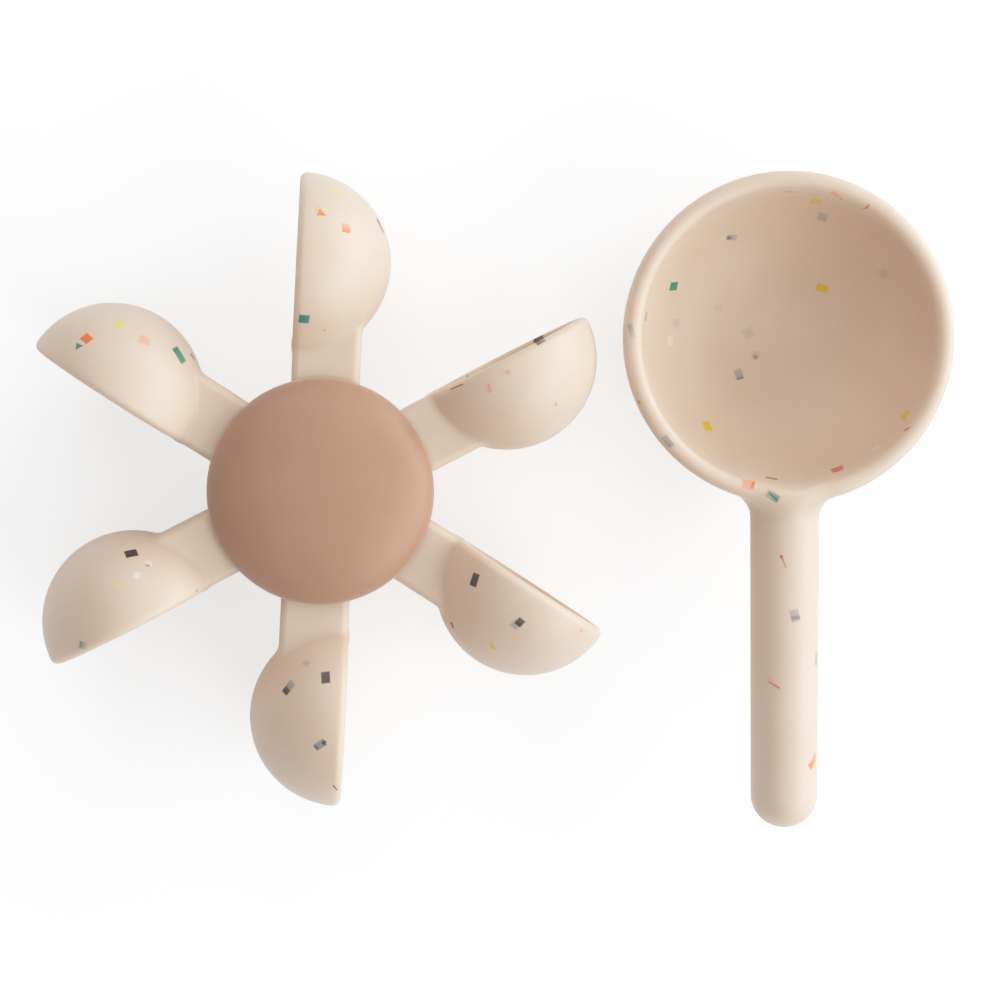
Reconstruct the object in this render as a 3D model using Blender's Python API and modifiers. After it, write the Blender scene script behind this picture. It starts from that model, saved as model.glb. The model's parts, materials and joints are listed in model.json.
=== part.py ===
"""Bath water wheel with the hand scoop that pours water over it.

Six spoon-shaped paddles are clamped in a hub, the hub spins on a post, and a
suction cup holds the post to the bath wall. The scoop lies beside the wheel.

Metres, +Z up. The wheel turns about the Z axis, and the plane z = 0 is the
wall, or the table that the wheel lies on.
"""

import math

import bmesh
import bpy

# Clearances
SEAT_GAP = 0.0003
RUNNING_GAP = 0.0003
END_PLAY = 0.0006

# Paddles: an arm with a round cup at its end
PADDLE_COUNT = 6
ARM_WIDTH = 0.0170
ARM_THICKNESS = 0.0170
ARM_EDGE = 0.0018
ARM_ROOT_GAP = 0.0013
ARM_GRIP = 0.0092
ARM_SHOWN = 0.0056
CUP_RADIUS = 0.0228
CUP_WALL = 0.0030
CUP_LIP = 0.0010
RIM_PROUD = 0.0004
RIM_OUTER_ROUND = 0.0018
RIM_INNER_ROUND = 0.0008
MOST_OUTER_SHARE = 0.6
MOST_INNER_SHARE = 0.3
MOST_LIP_SHARE = 0.8

# Suction cup: a dished disc with a stud that the base snaps over
SUCTION_RADIUS = 0.0220
SUCTION_RING = 0.0028
SUCTION_HOLLOW = 0.0042
SUCTION_LIP = 0.0013
SUCTION_SHOULDER = 0.0085
SUCTION_WAIST = 0.0115
SUCTION_WAIST_HEIGHT = 0.0026
SUCTION_HEIGHT = 0.0090
SUCTION_EDGE = 0.0006
HOLLOW_SHARES = (1.0, 0.75, 0.5, 0.25, 0.0)
STUD_RADIUS = 0.0050
STUD_LENGTH = 0.0018
STUD_HEAD_OVERHANG = 0.0014
STUD_HEAD_HEIGHT = 0.0024
STUD_HEAD_EDGE = 0.0008

# Mount base and its post
BASE_WALL = 0.0083
BASE_FLOOR = 0.0020
BASE_EDGE = 0.0010
POST_RADIUS = 0.0040
POST_EDGE = 0.0005

# Washers and flanged bushes
WASHER_RADIUS = 0.0070
THRUST_WASHER_THICKNESS = 0.0010
AXLE_WASHER_THICKNESS = 0.0008
BUSH_WALL = 0.0017
BUSH_FLANGE = 0.0018
BUSH_FLANGE_THICKNESS = 0.0010
BUSH_SPACING = 0.0031

# Hub shell and the plate that closes it
HUB_FLOOR = 0.0018
HUB_WALL = 0.0022
TUBE_WALL = 0.0026
PEG_RADIUS = 0.0023
PEG_INSET = 0.0046
PLATE_THICKNESS = 0.0030
GROOVE_DEPTH = 0.0010
GROOVE_HEIGHT = 0.0012
GROOVE_INSET = 0.0009

# Screws
SCREW_EVERY = 2
PLATE_SCREW_RADIUS = 0.0010
PLATE_SCREW_LENGTH = 0.0110
PLATE_SCREW_HEAD_RADIUS = 0.0021
PLATE_SCREW_HEAD_HEIGHT = 0.0015
AXLE_SCREW_RADIUS = 0.0014
AXLE_SCREW_LENGTH = 0.0120
AXLE_SCREW_HEAD_RADIUS = 0.0034
AXLE_SCREW_HEAD_HEIGHT = 0.0018
HEAD_FLAT_SHARE = 0.7
HEAD_SIDE_SHARE = 0.5
RECESS_WIDTH = 0.0007
RECESS_SPAN_SHARE = 1.3
RECESS_DEPTH_SHARE = 0.6

# Hub cap
CAP_WALL = 0.0028
CAP_CROWN = 0.0058
CAP_LIFT = 0.0006
CAP_HEADROOM = 0.0006
CAP_CORNER = 0.0022

# Scoop
BOWL_RADIUS = 0.0419
BOWL_LIP = 0.0045
BOWL_DEPTH = 0.0335
BOWL_FLOOR = 0.0036
BOWL_SQUARENESS = 2.3
FOOT_RADIUS = 0.0140
HANDLE_RADIUS = 0.0088
HANDLE_TIP_RADIUS = 0.0085
HANDLE_LENGTH = 0.0829
HANDLE_DROP = 0.0010
SCOOP_CLEARANCE = 0.0021
SCOOP_BEARING = math.radians(20.97)
SCOOP_YAW = math.radians(3.0)

# Facets of a full turn
CUP_STEPS = 26
BOWL_STEPS = 36
CAP_STEPS = 40
HUB_STEPS = 36
SMALL_STEPS = 20
SCREW_STEPS = 14
CUP_RINGS = 6
CAP_RINGS = 10
BOWL_RINGS = 7
ROUND_RINGS = 3
SHARP_ANGLE = math.radians(35)
MERGE_DISTANCE = 0.00001

# Across the wheel: from the arms' inner ends out to the sweep of the cups
ARM_PITCH = 2 * math.pi / PADDLE_COUNT
FIRST_ARM = math.pi / 2
ARM_ROOT = ARM_WIDTH / 2 / math.tan(ARM_PITCH / 2) + ARM_ROOT_GAP
HUB_RADIUS = ARM_ROOT + ARM_GRIP
PEG_REACH = ARM_ROOT + PEG_INSET
CAP_INSIDE = HUB_RADIUS + SEAT_GAP
CAP_RADIUS = CAP_INSIDE + CAP_WALL
CUP_REACH = CAP_RADIUS + ARM_SHOWN + CUP_RADIUS
RIM_FRONT = ARM_WIDTH / 2 + RIM_PROUD
WHEEL_SWEEP = math.hypot(CUP_REACH + CUP_RADIUS, RIM_FRONT)
STUD_HEAD_RADIUS = STUD_RADIUS + STUD_HEAD_OVERHANG
BASE_RADIUS = STUD_HEAD_RADIUS + SEAT_GAP + BASE_WALL
POST_CLEAR = POST_RADIUS + RUNNING_GAP
BUSH_RADIUS = POST_CLEAR + BUSH_WALL
FLANGE_RADIUS = BUSH_RADIUS + BUSH_FLANGE
TUBE_BORE = BUSH_RADIUS + SEAT_GAP
TUBE_RADIUS = TUBE_BORE + TUBE_WALL
PLATE_BORE = max(FLANGE_RADIUS, WASHER_RADIUS) + SEAT_GAP
PLATE_SCREW_HOLE = PLATE_SCREW_RADIUS + SEAT_GAP
AXLE_SCREW_HOLE = AXLE_SCREW_RADIUS + SEAT_GAP

# Along the axis: the stack from the wall to the top of the cap
STUD_HEAD_LOW = SUCTION_HEIGHT + STUD_LENGTH
STUD_HEAD_TOP = STUD_HEAD_LOW + STUD_HEAD_HEIGHT
BASE_LOW = SUCTION_HEIGHT + SEAT_GAP
BASE_TOP = STUD_HEAD_TOP + SEAT_GAP + BASE_FLOOR
THRUST_WASHER_LOW = BASE_TOP + SEAT_GAP
REAR_FLANGE_LOW = THRUST_WASHER_LOW + THRUST_WASHER_THICKNESS + SEAT_GAP
HUB_LOW = REAR_FLANGE_LOW + BUSH_FLANGE_THICKNESS + SEAT_GAP
HUB_FLOOR_TOP = HUB_LOW + HUB_FLOOR
ARM_LOW = HUB_FLOOR_TOP + SEAT_GAP
WHEEL_MIDDLE = ARM_LOW + ARM_THICKNESS / 2
ARM_TOP = ARM_LOW + ARM_THICKNESS
PLATE_LOW = ARM_TOP + SEAT_GAP
PLATE_TOP = PLATE_LOW + PLATE_THICKNESS
FRONT_FLANGE_LOW = ARM_TOP + SEAT_GAP
FRONT_FLANGE_TOP = FRONT_FLANGE_LOW + BUSH_FLANGE_THICKNESS
AXLE_WASHER_LOW = FRONT_FLANGE_TOP + END_PLAY
AXLE_WASHER_TOP = AXLE_WASHER_LOW + AXLE_WASHER_THICKNESS
POST_TOP = AXLE_WASHER_LOW - SEAT_GAP
AXLE_HEAD_LOW = AXLE_WASHER_TOP + SEAT_GAP
AXLE_HEAD_TOP = AXLE_HEAD_LOW + AXLE_SCREW_HEAD_HEIGHT
PLATE_HEAD_LOW = PLATE_TOP + SEAT_GAP
PLATE_HEAD_TOP = PLATE_HEAD_LOW + PLATE_SCREW_HEAD_HEIGHT
CAP_LOW = ARM_TOP + CAP_LIFT
CAP_CEILING = max(AXLE_HEAD_TOP, PLATE_HEAD_TOP) + CAP_HEADROOM
CAP_TOP = CAP_CEILING + CAP_CROWN
BUSH_LENGTH = (ARM_TOP - HUB_LOW - BUSH_SPACING) / 2
GROOVE_LOW = PLATE_LOW + GROOVE_INSET
GROOVE_TOP = GROOVE_LOW + GROOVE_HEIGHT

# The scoop stands on its foot, just outside the sweep of the cups
LIP_RADIUS = BOWL_LIP / 2
BOWL_TOP = BOWL_FLOOR + BOWL_DEPTH
LIP_MIDDLE = BOWL_TOP - LIP_RADIUS
HANDLE_HEIGHT = BOWL_TOP - HANDLE_DROP - HANDLE_RADIUS
HANDLE_REACH = BOWL_RADIUS + HANDLE_LENGTH
SCOOP_DISTANCE = WHEEL_SWEEP + SCOOP_CLEARANCE + BOWL_RADIUS


def clear_scene():
    """Remove every object that the scene starts with."""
    for obj in list(bpy.data.objects):
        bpy.data.objects.remove(obj, do_unlink=True)


def make_collection(name):
    """Return a new collection in the scene."""
    collection = bpy.data.collections.new(name)
    bpy.context.scene.collection.children.link(collection)
    return collection


def make_material(name, colour, roughness, metallic=0.0):
    """Return a Principled BSDF material."""
    material = bpy.data.materials.new(name)
    material.use_nodes = True
    shader = material.node_tree.nodes["Principled BSDF"]
    shader.inputs["Base Color"].default_value = (*colour, 1.0)
    shader.inputs["Roughness"].default_value = roughness
    shader.inputs["Metallic"].default_value = metallic
    material.diffuse_color = (*colour, 1.0)
    return material


def make_helper(name, mesh):
    """Return an object that only shapes others, shown as wire and never rendered."""
    helper = bpy.data.objects.new(f"{name}_form", mesh)
    HELPERS.objects.link(helper)
    helper.hide_render = True
    helper.display_type = "WIRE"
    return helper


def arc(centre, radius, start, end, points=ROUND_RINGS):
    """Return points on a circle from one angle to another, both ends included, in degrees."""
    angles = [math.radians(start + (end - start) * i / points) for i in range(points + 1)]
    return [(centre[0] + radius * math.cos(a), centre[1] + radius * math.sin(a)) for a in angles]


def bezier(start, control, end, points=ROUND_RINGS):
    """Return points on a quadratic curve between two points, both included."""
    shares = [i / points for i in range(points + 1)]
    return [
        tuple((1 - t) ** 2 * a + 2 * t * (1 - t) * b + t * t * c for a, b, c in zip(start, control, end))
        for t in shares
    ]


def on_axis(profile):
    """Return the profile with its two ends exactly on the axis."""
    return [(0.0, profile[0][1]), *profile[1:-1], (0.0, profile[-1][1])]


def turned(name, profile, steps, ring=False):
    """Return a helper turned about Z from (radius, height) points that run down its outer side.

    A ring's profile is closed; any other starts and ends on the axis.
    """
    mesh = bpy.data.meshes.new(name)
    links = [(i, i + 1) for i in range(len(profile) - 1)]
    if ring:
        links.append((len(profile) - 1, 0))
    mesh.from_pydata([(radius, 0.0, height) for radius, height in profile], links, [])
    helper = make_helper(name, mesh)
    screw = helper.modifiers.new("turn", "SCREW")
    screw.steps = steps
    screw.render_steps = steps
    screw.use_merge_vertices = True
    screw.merge_threshold = MERGE_DISTANCE
    return helper


def box(name, low, high):
    """Return a helper box between two corners."""
    shape = bmesh.new()
    bmesh.ops.create_cube(shape, size=1.0)
    size = [b - a for a, b in zip(low, high)]
    bmesh.ops.scale(shape, vec=size, verts=shape.verts)
    bmesh.ops.translate(shape, vec=[(a + b) / 2 for a, b in zip(low, high)], verts=shape.verts)
    mesh = bpy.data.meshes.new(name)
    shape.to_mesh(mesh)
    shape.free()
    return make_helper(name, mesh)


def rod(name, radius, low, high, steps=SCREW_STEPS):
    """Return a helper cylinder along Z."""
    shape = bmesh.new()
    bmesh.ops.create_cone(
        shape, cap_ends=True, segments=steps, radius1=radius, radius2=radius, depth=high - low
    )
    bmesh.ops.translate(shape, vec=(0.0, 0.0, (low + high) / 2), verts=shape.verts)
    mesh = bpy.data.meshes.new(name)
    shape.to_mesh(mesh)
    shape.free()
    return make_helper(name, mesh)


def combine(target, operation, other):
    """Add a Boolean to a helper."""
    boolean = target.modifiers.new(operation.lower(), "BOOLEAN")
    boolean.operation = operation
    boolean.solver = "EXACT"
    boolean.object = other


def solid_mesh(helper):
    """Return the helper's finished mesh, shaded smooth over its round faces."""
    bpy.context.view_layer.update()
    graph = bpy.context.evaluated_depsgraph_get()
    mesh = bpy.data.meshes.new_from_object(helper.evaluated_get(graph))
    mesh.name = helper.name.removesuffix("_form")
    mesh.materials.clear()
    mesh.shade_smooth()
    mesh.set_sharp_from_angle(angle=SHARP_ANGLE)
    return mesh


def add_part(name, mesh, material, parent, location=(0.0, 0.0, 0.0), rotation=(0.0, 0.0, 0.0)):
    """Place one sub-part under the empty that carries it."""
    part = bpy.data.objects.new(name, mesh)
    PARTS.objects.link(part)
    part.parent = parent
    part.location = location
    part.rotation_euler = rotation
    if not mesh.materials:
        mesh.materials.append(material)
    return part


def add_empty(name, location=(0.0, 0.0, 0.0), turn=0.0):
    """Return an empty that carries parts."""
    empty = bpy.data.objects.new(name, None)
    PARTS.objects.link(empty)
    empty.location = location
    empty.rotation_euler = (0.0, 0.0, turn)
    empty.empty_display_size = CUP_RADIUS
    return empty


def arm_angles():
    """Return the direction of each arm about the axis, the first along +Y."""
    return [FIRST_ARM + i * ARM_PITCH for i in range(PADDLE_COUNT)]


def around(angle, reach):
    """Return the point at this direction and distance from the axis."""
    return (reach * math.cos(angle), reach * math.sin(angle), 0.0)


def suction_cup():
    """Dished disc that seals on a flat ring, with a snap stud on its back."""
    ring_inside = SUCTION_RADIUS - SUCTION_EDGE - SUCTION_RING
    hollow = [
        (ring_inside * share, SUCTION_HOLLOW * (1 - share * share))
        for share in HOLLOW_SHARES
    ]
    back = bezier(
        (SUCTION_SHOULDER, SUCTION_HEIGHT - SUCTION_EDGE),
        (SUCTION_WAIST, SUCTION_WAIST_HEIGHT),
        (SUCTION_RADIUS, SUCTION_LIP),
        points=CUP_RINGS,
    )
    profile = [
        (0.0, STUD_HEAD_TOP),
        (STUD_HEAD_RADIUS - STUD_HEAD_EDGE, STUD_HEAD_TOP),
        (STUD_HEAD_RADIUS, STUD_HEAD_TOP - STUD_HEAD_EDGE),
        (STUD_HEAD_RADIUS, STUD_HEAD_LOW),
        (STUD_RADIUS, STUD_HEAD_LOW),
        (STUD_RADIUS, SUCTION_HEIGHT),
        (SUCTION_SHOULDER - SUCTION_EDGE, SUCTION_HEIGHT),
        *back,
        (SUCTION_RADIUS, SUCTION_EDGE),
        (SUCTION_RADIUS - SUCTION_EDGE, 0.0),
        *hollow,
    ]
    return turned("suction_cup", profile, BOWL_STEPS)


def mount_base():
    """Disc that snaps over the stud, with the post that the hub turns on."""
    stud_hole = STUD_RADIUS + SEAT_GAP
    head_hole = STUD_HEAD_RADIUS + SEAT_GAP
    screw_end = AXLE_HEAD_LOW - AXLE_SCREW_LENGTH - SEAT_GAP
    profile = [
        (0.0, screw_end),
        (AXLE_SCREW_HOLE, screw_end),
        (AXLE_SCREW_HOLE, POST_TOP),
        (POST_RADIUS - POST_EDGE, POST_TOP),
        (POST_RADIUS, POST_TOP - POST_EDGE),
        (POST_RADIUS, BASE_TOP),
        (BASE_RADIUS - BASE_EDGE, BASE_TOP),
        (BASE_RADIUS, BASE_TOP - BASE_EDGE),
        (BASE_RADIUS, BASE_LOW + BASE_EDGE),
        (BASE_RADIUS - BASE_EDGE, BASE_LOW),
        (stud_hole, BASE_LOW),
        (stud_hole, STUD_HEAD_LOW - SEAT_GAP),
        (head_hole, STUD_HEAD_LOW - SEAT_GAP),
        (head_hole, STUD_HEAD_TOP + SEAT_GAP),
        (0.0, STUD_HEAD_TOP + SEAT_GAP),
    ]
    return turned("mount_base", profile, HUB_STEPS)


def washer(name, hole, low, thickness):
    """Flat washer on the post or its screw."""
    profile = [
        (hole, low + thickness),
        (WASHER_RADIUS, low + thickness),
        (WASHER_RADIUS, low),
        (hole, low),
    ]
    return turned(name, profile, SMALL_STEPS, ring=True)


def rear_bush():
    """Flanged bush pushed into the hub from the wall side."""
    barrel_top = HUB_LOW + BUSH_LENGTH
    profile = [
        (POST_CLEAR, barrel_top),
        (BUSH_RADIUS, barrel_top),
        (BUSH_RADIUS, REAR_FLANGE_LOW + BUSH_FLANGE_THICKNESS),
        (FLANGE_RADIUS, REAR_FLANGE_LOW + BUSH_FLANGE_THICKNESS),
        (FLANGE_RADIUS, REAR_FLANGE_LOW),
        (POST_CLEAR, REAR_FLANGE_LOW),
    ]
    return turned("rear_bush", profile, SMALL_STEPS, ring=True)


def front_bush():
    """Flanged bush pushed into the hub from the cap side."""
    barrel_low = ARM_TOP - BUSH_LENGTH
    profile = [
        (POST_CLEAR, FRONT_FLANGE_TOP),
        (FLANGE_RADIUS, FRONT_FLANGE_TOP),
        (FLANGE_RADIUS, FRONT_FLANGE_LOW),
        (BUSH_RADIUS, FRONT_FLANGE_LOW),
        (BUSH_RADIUS, barrel_low),
        (POST_CLEAR, barrel_low),
    ]
    return turned("front_bush", profile, SMALL_STEPS, ring=True)


def hub_shell():
    """Dish with a bearing tube, a notch in its wall and a peg for each arm."""
    wall_inside = HUB_RADIUS - HUB_WALL
    profile = [
        (TUBE_BORE, ARM_TOP),
        (TUBE_RADIUS, ARM_TOP),
        (TUBE_RADIUS, HUB_FLOOR_TOP),
        (wall_inside, HUB_FLOOR_TOP),
        (wall_inside, ARM_TOP),
        (HUB_RADIUS, ARM_TOP),
        (HUB_RADIUS, HUB_LOW),
        (TUBE_BORE, HUB_LOW),
    ]
    shell = turned("hub_shell", profile, HUB_STEPS, ring=True)
    notch_half = ARM_WIDTH / 2 + SEAT_GAP
    for index, angle in enumerate(arm_angles()):
        notch = box(
            f"notch_{index + 1}",
            (ARM_ROOT, -notch_half, ARM_LOW - SEAT_GAP / 2),
            (HUB_RADIUS + 2 * HUB_WALL, notch_half, ARM_TOP + HUB_WALL),
        )
        notch.rotation_euler = (0.0, 0.0, angle)
        combine(shell, "DIFFERENCE", notch)
    for index, angle in enumerate(arm_angles()):
        peg = rod(f"peg_{index + 1}", PEG_RADIUS, HUB_FLOOR_TOP - HUB_FLOOR / 2, ARM_TOP)
        peg.location = around(angle, PEG_REACH)
        combine(shell, "UNION", peg)
    screw_end = PLATE_HEAD_LOW - PLATE_SCREW_LENGTH - SEAT_GAP
    for index, angle in enumerate(arm_angles()[::SCREW_EVERY]):
        pilot = rod(f"pilot_{index + 1}", PLATE_SCREW_HOLE, screw_end, ARM_TOP + HUB_WALL)
        pilot.location = around(angle, PEG_REACH)
        combine(shell, "DIFFERENCE", pilot)
    return shell


def hub_plate():
    """Disc that closes the shell over the arms, with a groove that holds the cap."""
    groove_bottom = HUB_RADIUS - GROOVE_DEPTH
    profile = [
        (PLATE_BORE, PLATE_TOP),
        (HUB_RADIUS, PLATE_TOP),
        (HUB_RADIUS, GROOVE_TOP),
        (groove_bottom, GROOVE_TOP),
        (groove_bottom, GROOVE_LOW),
        (HUB_RADIUS, GROOVE_LOW),
        (HUB_RADIUS, PLATE_LOW),
        (PLATE_BORE, PLATE_LOW),
    ]
    plate = turned("hub_plate", profile, HUB_STEPS, ring=True)
    for index, angle in enumerate(arm_angles()[::SCREW_EVERY]):
        hole = rod(
            f"plate_hole_{index + 1}", PLATE_SCREW_HOLE, PLATE_LOW - HUB_WALL, PLATE_TOP + HUB_WALL
        )
        hole.location = around(angle, PEG_REACH)
        combine(plate, "DIFFERENCE", hole)
    return plate


def screw(name, radius, length, head_radius, head_height, head_low):
    """Pan-head screw with a cross recess, its head sitting at head_low."""
    head_top = head_low + head_height
    profile = [
        (0.0, head_top),
        (head_radius * HEAD_FLAT_SHARE, head_top),
        (head_radius, head_low + head_height * HEAD_SIDE_SHARE),
        (head_radius, head_low),
        (radius, head_low),
        (radius, head_low - length + radius),
        (0.0, head_low - length),
    ]
    fastener = turned(name, profile, SCREW_STEPS)
    half_span = head_radius * RECESS_SPAN_SHARE / 2
    recess_low = head_top - head_height * RECESS_DEPTH_SHARE
    for turn in (0.0, math.pi / 2):
        slot = box(
            f"{name}_recess",
            (-half_span, -RECESS_WIDTH / 2, recess_low),
            (half_span, RECESS_WIDTH / 2, head_top + head_height),
        )
        slot.rotation_euler = (0.0, 0.0, turn)
        combine(fastener, "DIFFERENCE", slot)
    return fastener


def hub_cap():
    """Cover domed like one side of a lens; a bead in its skirt sits in the plate's groove."""
    bead_inside = HUB_RADIUS - GROOVE_DEPTH + SEAT_GAP
    dome_height = CAP_TOP - CAP_LOW
    dome = [
        (CAP_RADIUS * across, CAP_LOW + dome_height * up)
        for across, up in arc((0.0, 0.0), 1.0, 90, 0, CAP_RINGS)
    ]
    profile = [
        *dome,
        (CAP_INSIDE, CAP_LOW),
        (CAP_INSIDE, GROOVE_LOW + SEAT_GAP),
        (bead_inside, GROOVE_LOW + SEAT_GAP),
        (bead_inside, GROOVE_TOP - SEAT_GAP),
        (CAP_INSIDE, GROOVE_TOP - SEAT_GAP),
        (CAP_INSIDE, CAP_CEILING - CAP_CORNER),
        (CAP_INSIDE - CAP_CORNER, CAP_CEILING),
        (0.0, CAP_CEILING),
    ]
    return turned("hub_cap", on_axis(profile), CAP_STEPS)


def paddle():
    """One moulding: a square arm that grows into the back of a round cup.

    Its own axes are X outwards along the arm, Z the way the cup opens, and its
    origin lies on the cup's axis.
    """
    ball = RIM_FRONT - CUP_LIP
    inside = CUP_RADIUS - CUP_WALL
    outer_round = min(RIM_OUTER_ROUND, CUP_WALL * MOST_OUTER_SHARE)
    inner_round = min(RIM_INNER_ROUND, CUP_WALL * MOST_INNER_SHARE, CUP_LIP * MOST_LIP_SHARE)
    round_height = RIM_FRONT - outer_round
    tangent = math.asin((round_height - ball) / (CUP_RADIUS - outer_round))
    round_reach = (CUP_RADIUS - outer_round) * math.cos(tangent)
    profile = [
        *arc((0.0, ball), inside, -90, 0, CUP_RINGS),
        *arc((inside + inner_round, RIM_FRONT - inner_round), inner_round, 180, 90),
        *arc((round_reach, round_height), outer_round, 90, math.degrees(tangent)),
        *arc((0.0, ball), CUP_RADIUS, math.degrees(tangent), -90, CUP_RINGS)[1:],
    ]
    cup = turned("paddle", on_axis(profile), CUP_STEPS)

    middle_wall = CUP_RADIUS - CUP_WALL / 2
    core_profile = [
        (0.0, RIM_FRONT + CUP_WALL),
        (middle_wall, RIM_FRONT + CUP_WALL),
        *arc((0.0, ball), middle_wall, 0, -90, CUP_RINGS),
    ]
    core = turned("cup_core", on_axis(core_profile), CUP_STEPS)
    arm = box(
        "arm",
        (ARM_ROOT - CUP_REACH, -ARM_THICKNESS / 2, -ARM_WIDTH / 2),
        (0.0, ARM_THICKNESS / 2, ARM_WIDTH / 2),
    )
    edges = arm.modifiers.new("edges", "BEVEL")
    edges.width = ARM_EDGE
    edges.segments = 2
    combine(arm, "DIFFERENCE", core)
    combine(cup, "UNION", arm)

    peg_hole = rod("peg_hole", PEG_RADIUS + SEAT_GAP, -ARM_THICKNESS, ARM_THICKNESS)
    peg_hole.rotation_euler = (math.pi / 2, 0.0, 0.0)
    peg_hole.location = (PEG_REACH - CUP_REACH, 0.0, 0.0)
    combine(cup, "DIFFERENCE", peg_hole)
    return cup


def rounded_bowl(radius, depth, low_share=1.0):
    """Return points from the lip's middle down a bowl's side, a little squarer than a ball."""
    power = 2 / BOWL_SQUARENESS
    angles = [math.pi / 2 * low_share * i / BOWL_RINGS for i in range(BOWL_RINGS + 1)]
    return [
        (radius * math.cos(angle) ** power, LIP_MIDDLE - depth * math.sin(angle) ** power)
        for angle in angles
    ]


def scoop():
    """Bowl with a rolled lip and a flat foot, and a round handle level with the lip."""
    inside = BOWL_RADIUS - BOWL_LIP
    foot_share = 2 / math.pi * math.acos((FOOT_RADIUS / BOWL_RADIUS) ** (BOWL_SQUARENESS / 2))
    foot_fall = math.sin(math.pi / 2 * foot_share) ** (2 / BOWL_SQUARENESS)
    inner = rounded_bowl(inside, BOWL_DEPTH - LIP_RADIUS)
    outer = rounded_bowl(BOWL_RADIUS, LIP_MIDDLE / foot_fall, foot_share)
    lip = arc((BOWL_RADIUS - LIP_RADIUS, LIP_MIDDLE), LIP_RADIUS, 180, 0, 2 * ROUND_RINGS)
    profile = [*reversed(inner), *lip[1:-1], *outer, (0.0, 0.0)]
    bowl = turned("scoop", on_axis(profile), BOWL_STEPS)

    core_profile = [
        (0.0, BOWL_TOP + LIP_RADIUS),
        (inside + LIP_RADIUS, BOWL_TOP + LIP_RADIUS),
        *rounded_bowl(inside + LIP_RADIUS, LIP_MIDDLE - BOWL_FLOOR / 2),
    ]
    core = turned("bowl_core", on_axis(core_profile), BOWL_STEPS)

    handle_profile = [
        *arc((0.0, HANDLE_REACH - HANDLE_TIP_RADIUS), HANDLE_TIP_RADIUS, 90, 0),
        (HANDLE_RADIUS, BOWL_RADIUS),
        (HANDLE_RADIUS, inside / 2),
        (0.0, inside / 2),
    ]
    handle = turned("handle", on_axis(handle_profile), SMALL_STEPS)
    handle.location = (0.0, 0.0, HANDLE_HEIGHT)
    handle.rotation_euler = (math.pi / 2, 0.0, 0.0)
    combine(handle, "DIFFERENCE", core)
    combine(bowl, "UNION", handle)
    return bowl


def build_base(cream_plastic, tan_silicone, white_plastic, steel):
    """Add the pieces that stay still on the wall."""
    base = add_empty("suction_mount")
    add_part("suction_cup", solid_mesh(suction_cup()), tan_silicone, base)
    add_part("mount_base", solid_mesh(mount_base()), cream_plastic, base)
    thrust = washer("thrust_washer", POST_CLEAR, THRUST_WASHER_LOW, THRUST_WASHER_THICKNESS)
    add_part("thrust_washer", solid_mesh(thrust), white_plastic, base)
    axle = washer("axle_washer", AXLE_SCREW_HOLE, AXLE_WASHER_LOW, AXLE_WASHER_THICKNESS)
    add_part("axle_washer", solid_mesh(axle), steel, base)
    axle_screw = screw(
        "axle_screw",
        AXLE_SCREW_RADIUS,
        AXLE_SCREW_LENGTH,
        AXLE_SCREW_HEAD_RADIUS,
        AXLE_SCREW_HEAD_HEIGHT,
        AXLE_HEAD_LOW,
    )
    add_part("axle_screw", solid_mesh(axle_screw), steel, base)


def build_wheel(cream_silicone, tan_silicone, cream_plastic, white_plastic, steel):
    """Add the pieces that spin, under an empty on the wheel's axis."""
    wheel = add_empty("wheel_axis")
    add_part("rear_bush", solid_mesh(rear_bush()), white_plastic, wheel)
    add_part("front_bush", solid_mesh(front_bush()), white_plastic, wheel)
    add_part("hub_shell", solid_mesh(hub_shell()), cream_plastic, wheel)
    add_part("hub_plate", solid_mesh(hub_plate()), cream_plastic, wheel)
    add_part("hub_cap", solid_mesh(hub_cap()), tan_silicone, wheel)
    plate_screw = solid_mesh(
        screw(
            "plate_screw",
            PLATE_SCREW_RADIUS,
            PLATE_SCREW_LENGTH,
            PLATE_SCREW_HEAD_RADIUS,
            PLATE_SCREW_HEAD_HEIGHT,
            PLATE_HEAD_LOW,
        )
    )
    for index, angle in enumerate(arm_angles()[::SCREW_EVERY]):
        add_part(f"plate_screw_{index + 1}", plate_screw, steel, wheel, around(angle, PEG_REACH))
    paddle_mesh = solid_mesh(paddle())
    for index, angle in enumerate(arm_angles()):
        x, y, _ = around(angle, CUP_REACH)
        place = (x, y, WHEEL_MIDDLE)
        stance = (-math.pi / 2, 0.0, angle)
        add_part(f"paddle_{index + 1}", paddle_mesh, cream_silicone, wheel, place, stance)


def build_scoop(cream_silicone):
    """Add the scoop, under an empty at the middle of its foot."""
    place = add_empty("scoop_place", around(SCOOP_BEARING, SCOOP_DISTANCE), SCOOP_YAW)
    add_part("scoop", solid_mesh(scoop()), cream_silicone, place)


def main():
    """Build the whole set."""
    cream_silicone = make_material("cream_silicone", (0.78, 0.66, 0.56), 0.55)
    tan_silicone = make_material("tan_silicone", (0.50, 0.30, 0.21), 0.60)
    cream_plastic = make_material("cream_plastic", (0.74, 0.64, 0.55), 0.45)
    white_plastic = make_material("white_plastic", (0.86, 0.86, 0.84), 0.35)
    steel = make_material("stainless_steel", (0.62, 0.62, 0.60), 0.30, 1.0)
    build_base(cream_plastic, tan_silicone, white_plastic, steel)
    build_wheel(cream_silicone, tan_silicone, cream_plastic, white_plastic, steel)
    build_scoop(cream_silicone)


clear_scene()
PARTS = make_collection("bath_water_wheel")
HELPERS = make_collection("cutters")
main()
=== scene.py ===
"""Dressed scene of a bath water wheel and its hand scoop.

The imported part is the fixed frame. Fine mouldings stand for its silicone and
plastic solids, with rounded edges and fillets where the solids are faceted. The
coloured flakes cast into the silicone lie where the photograph shows them, and
more are scattered over the sides that it doesn't show.
"""

import json
import logging
import math
import random
from collections.abc import Callable, Sequence
from dataclasses import dataclass, field
from enum import Enum
from itertools import accumulate

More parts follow.
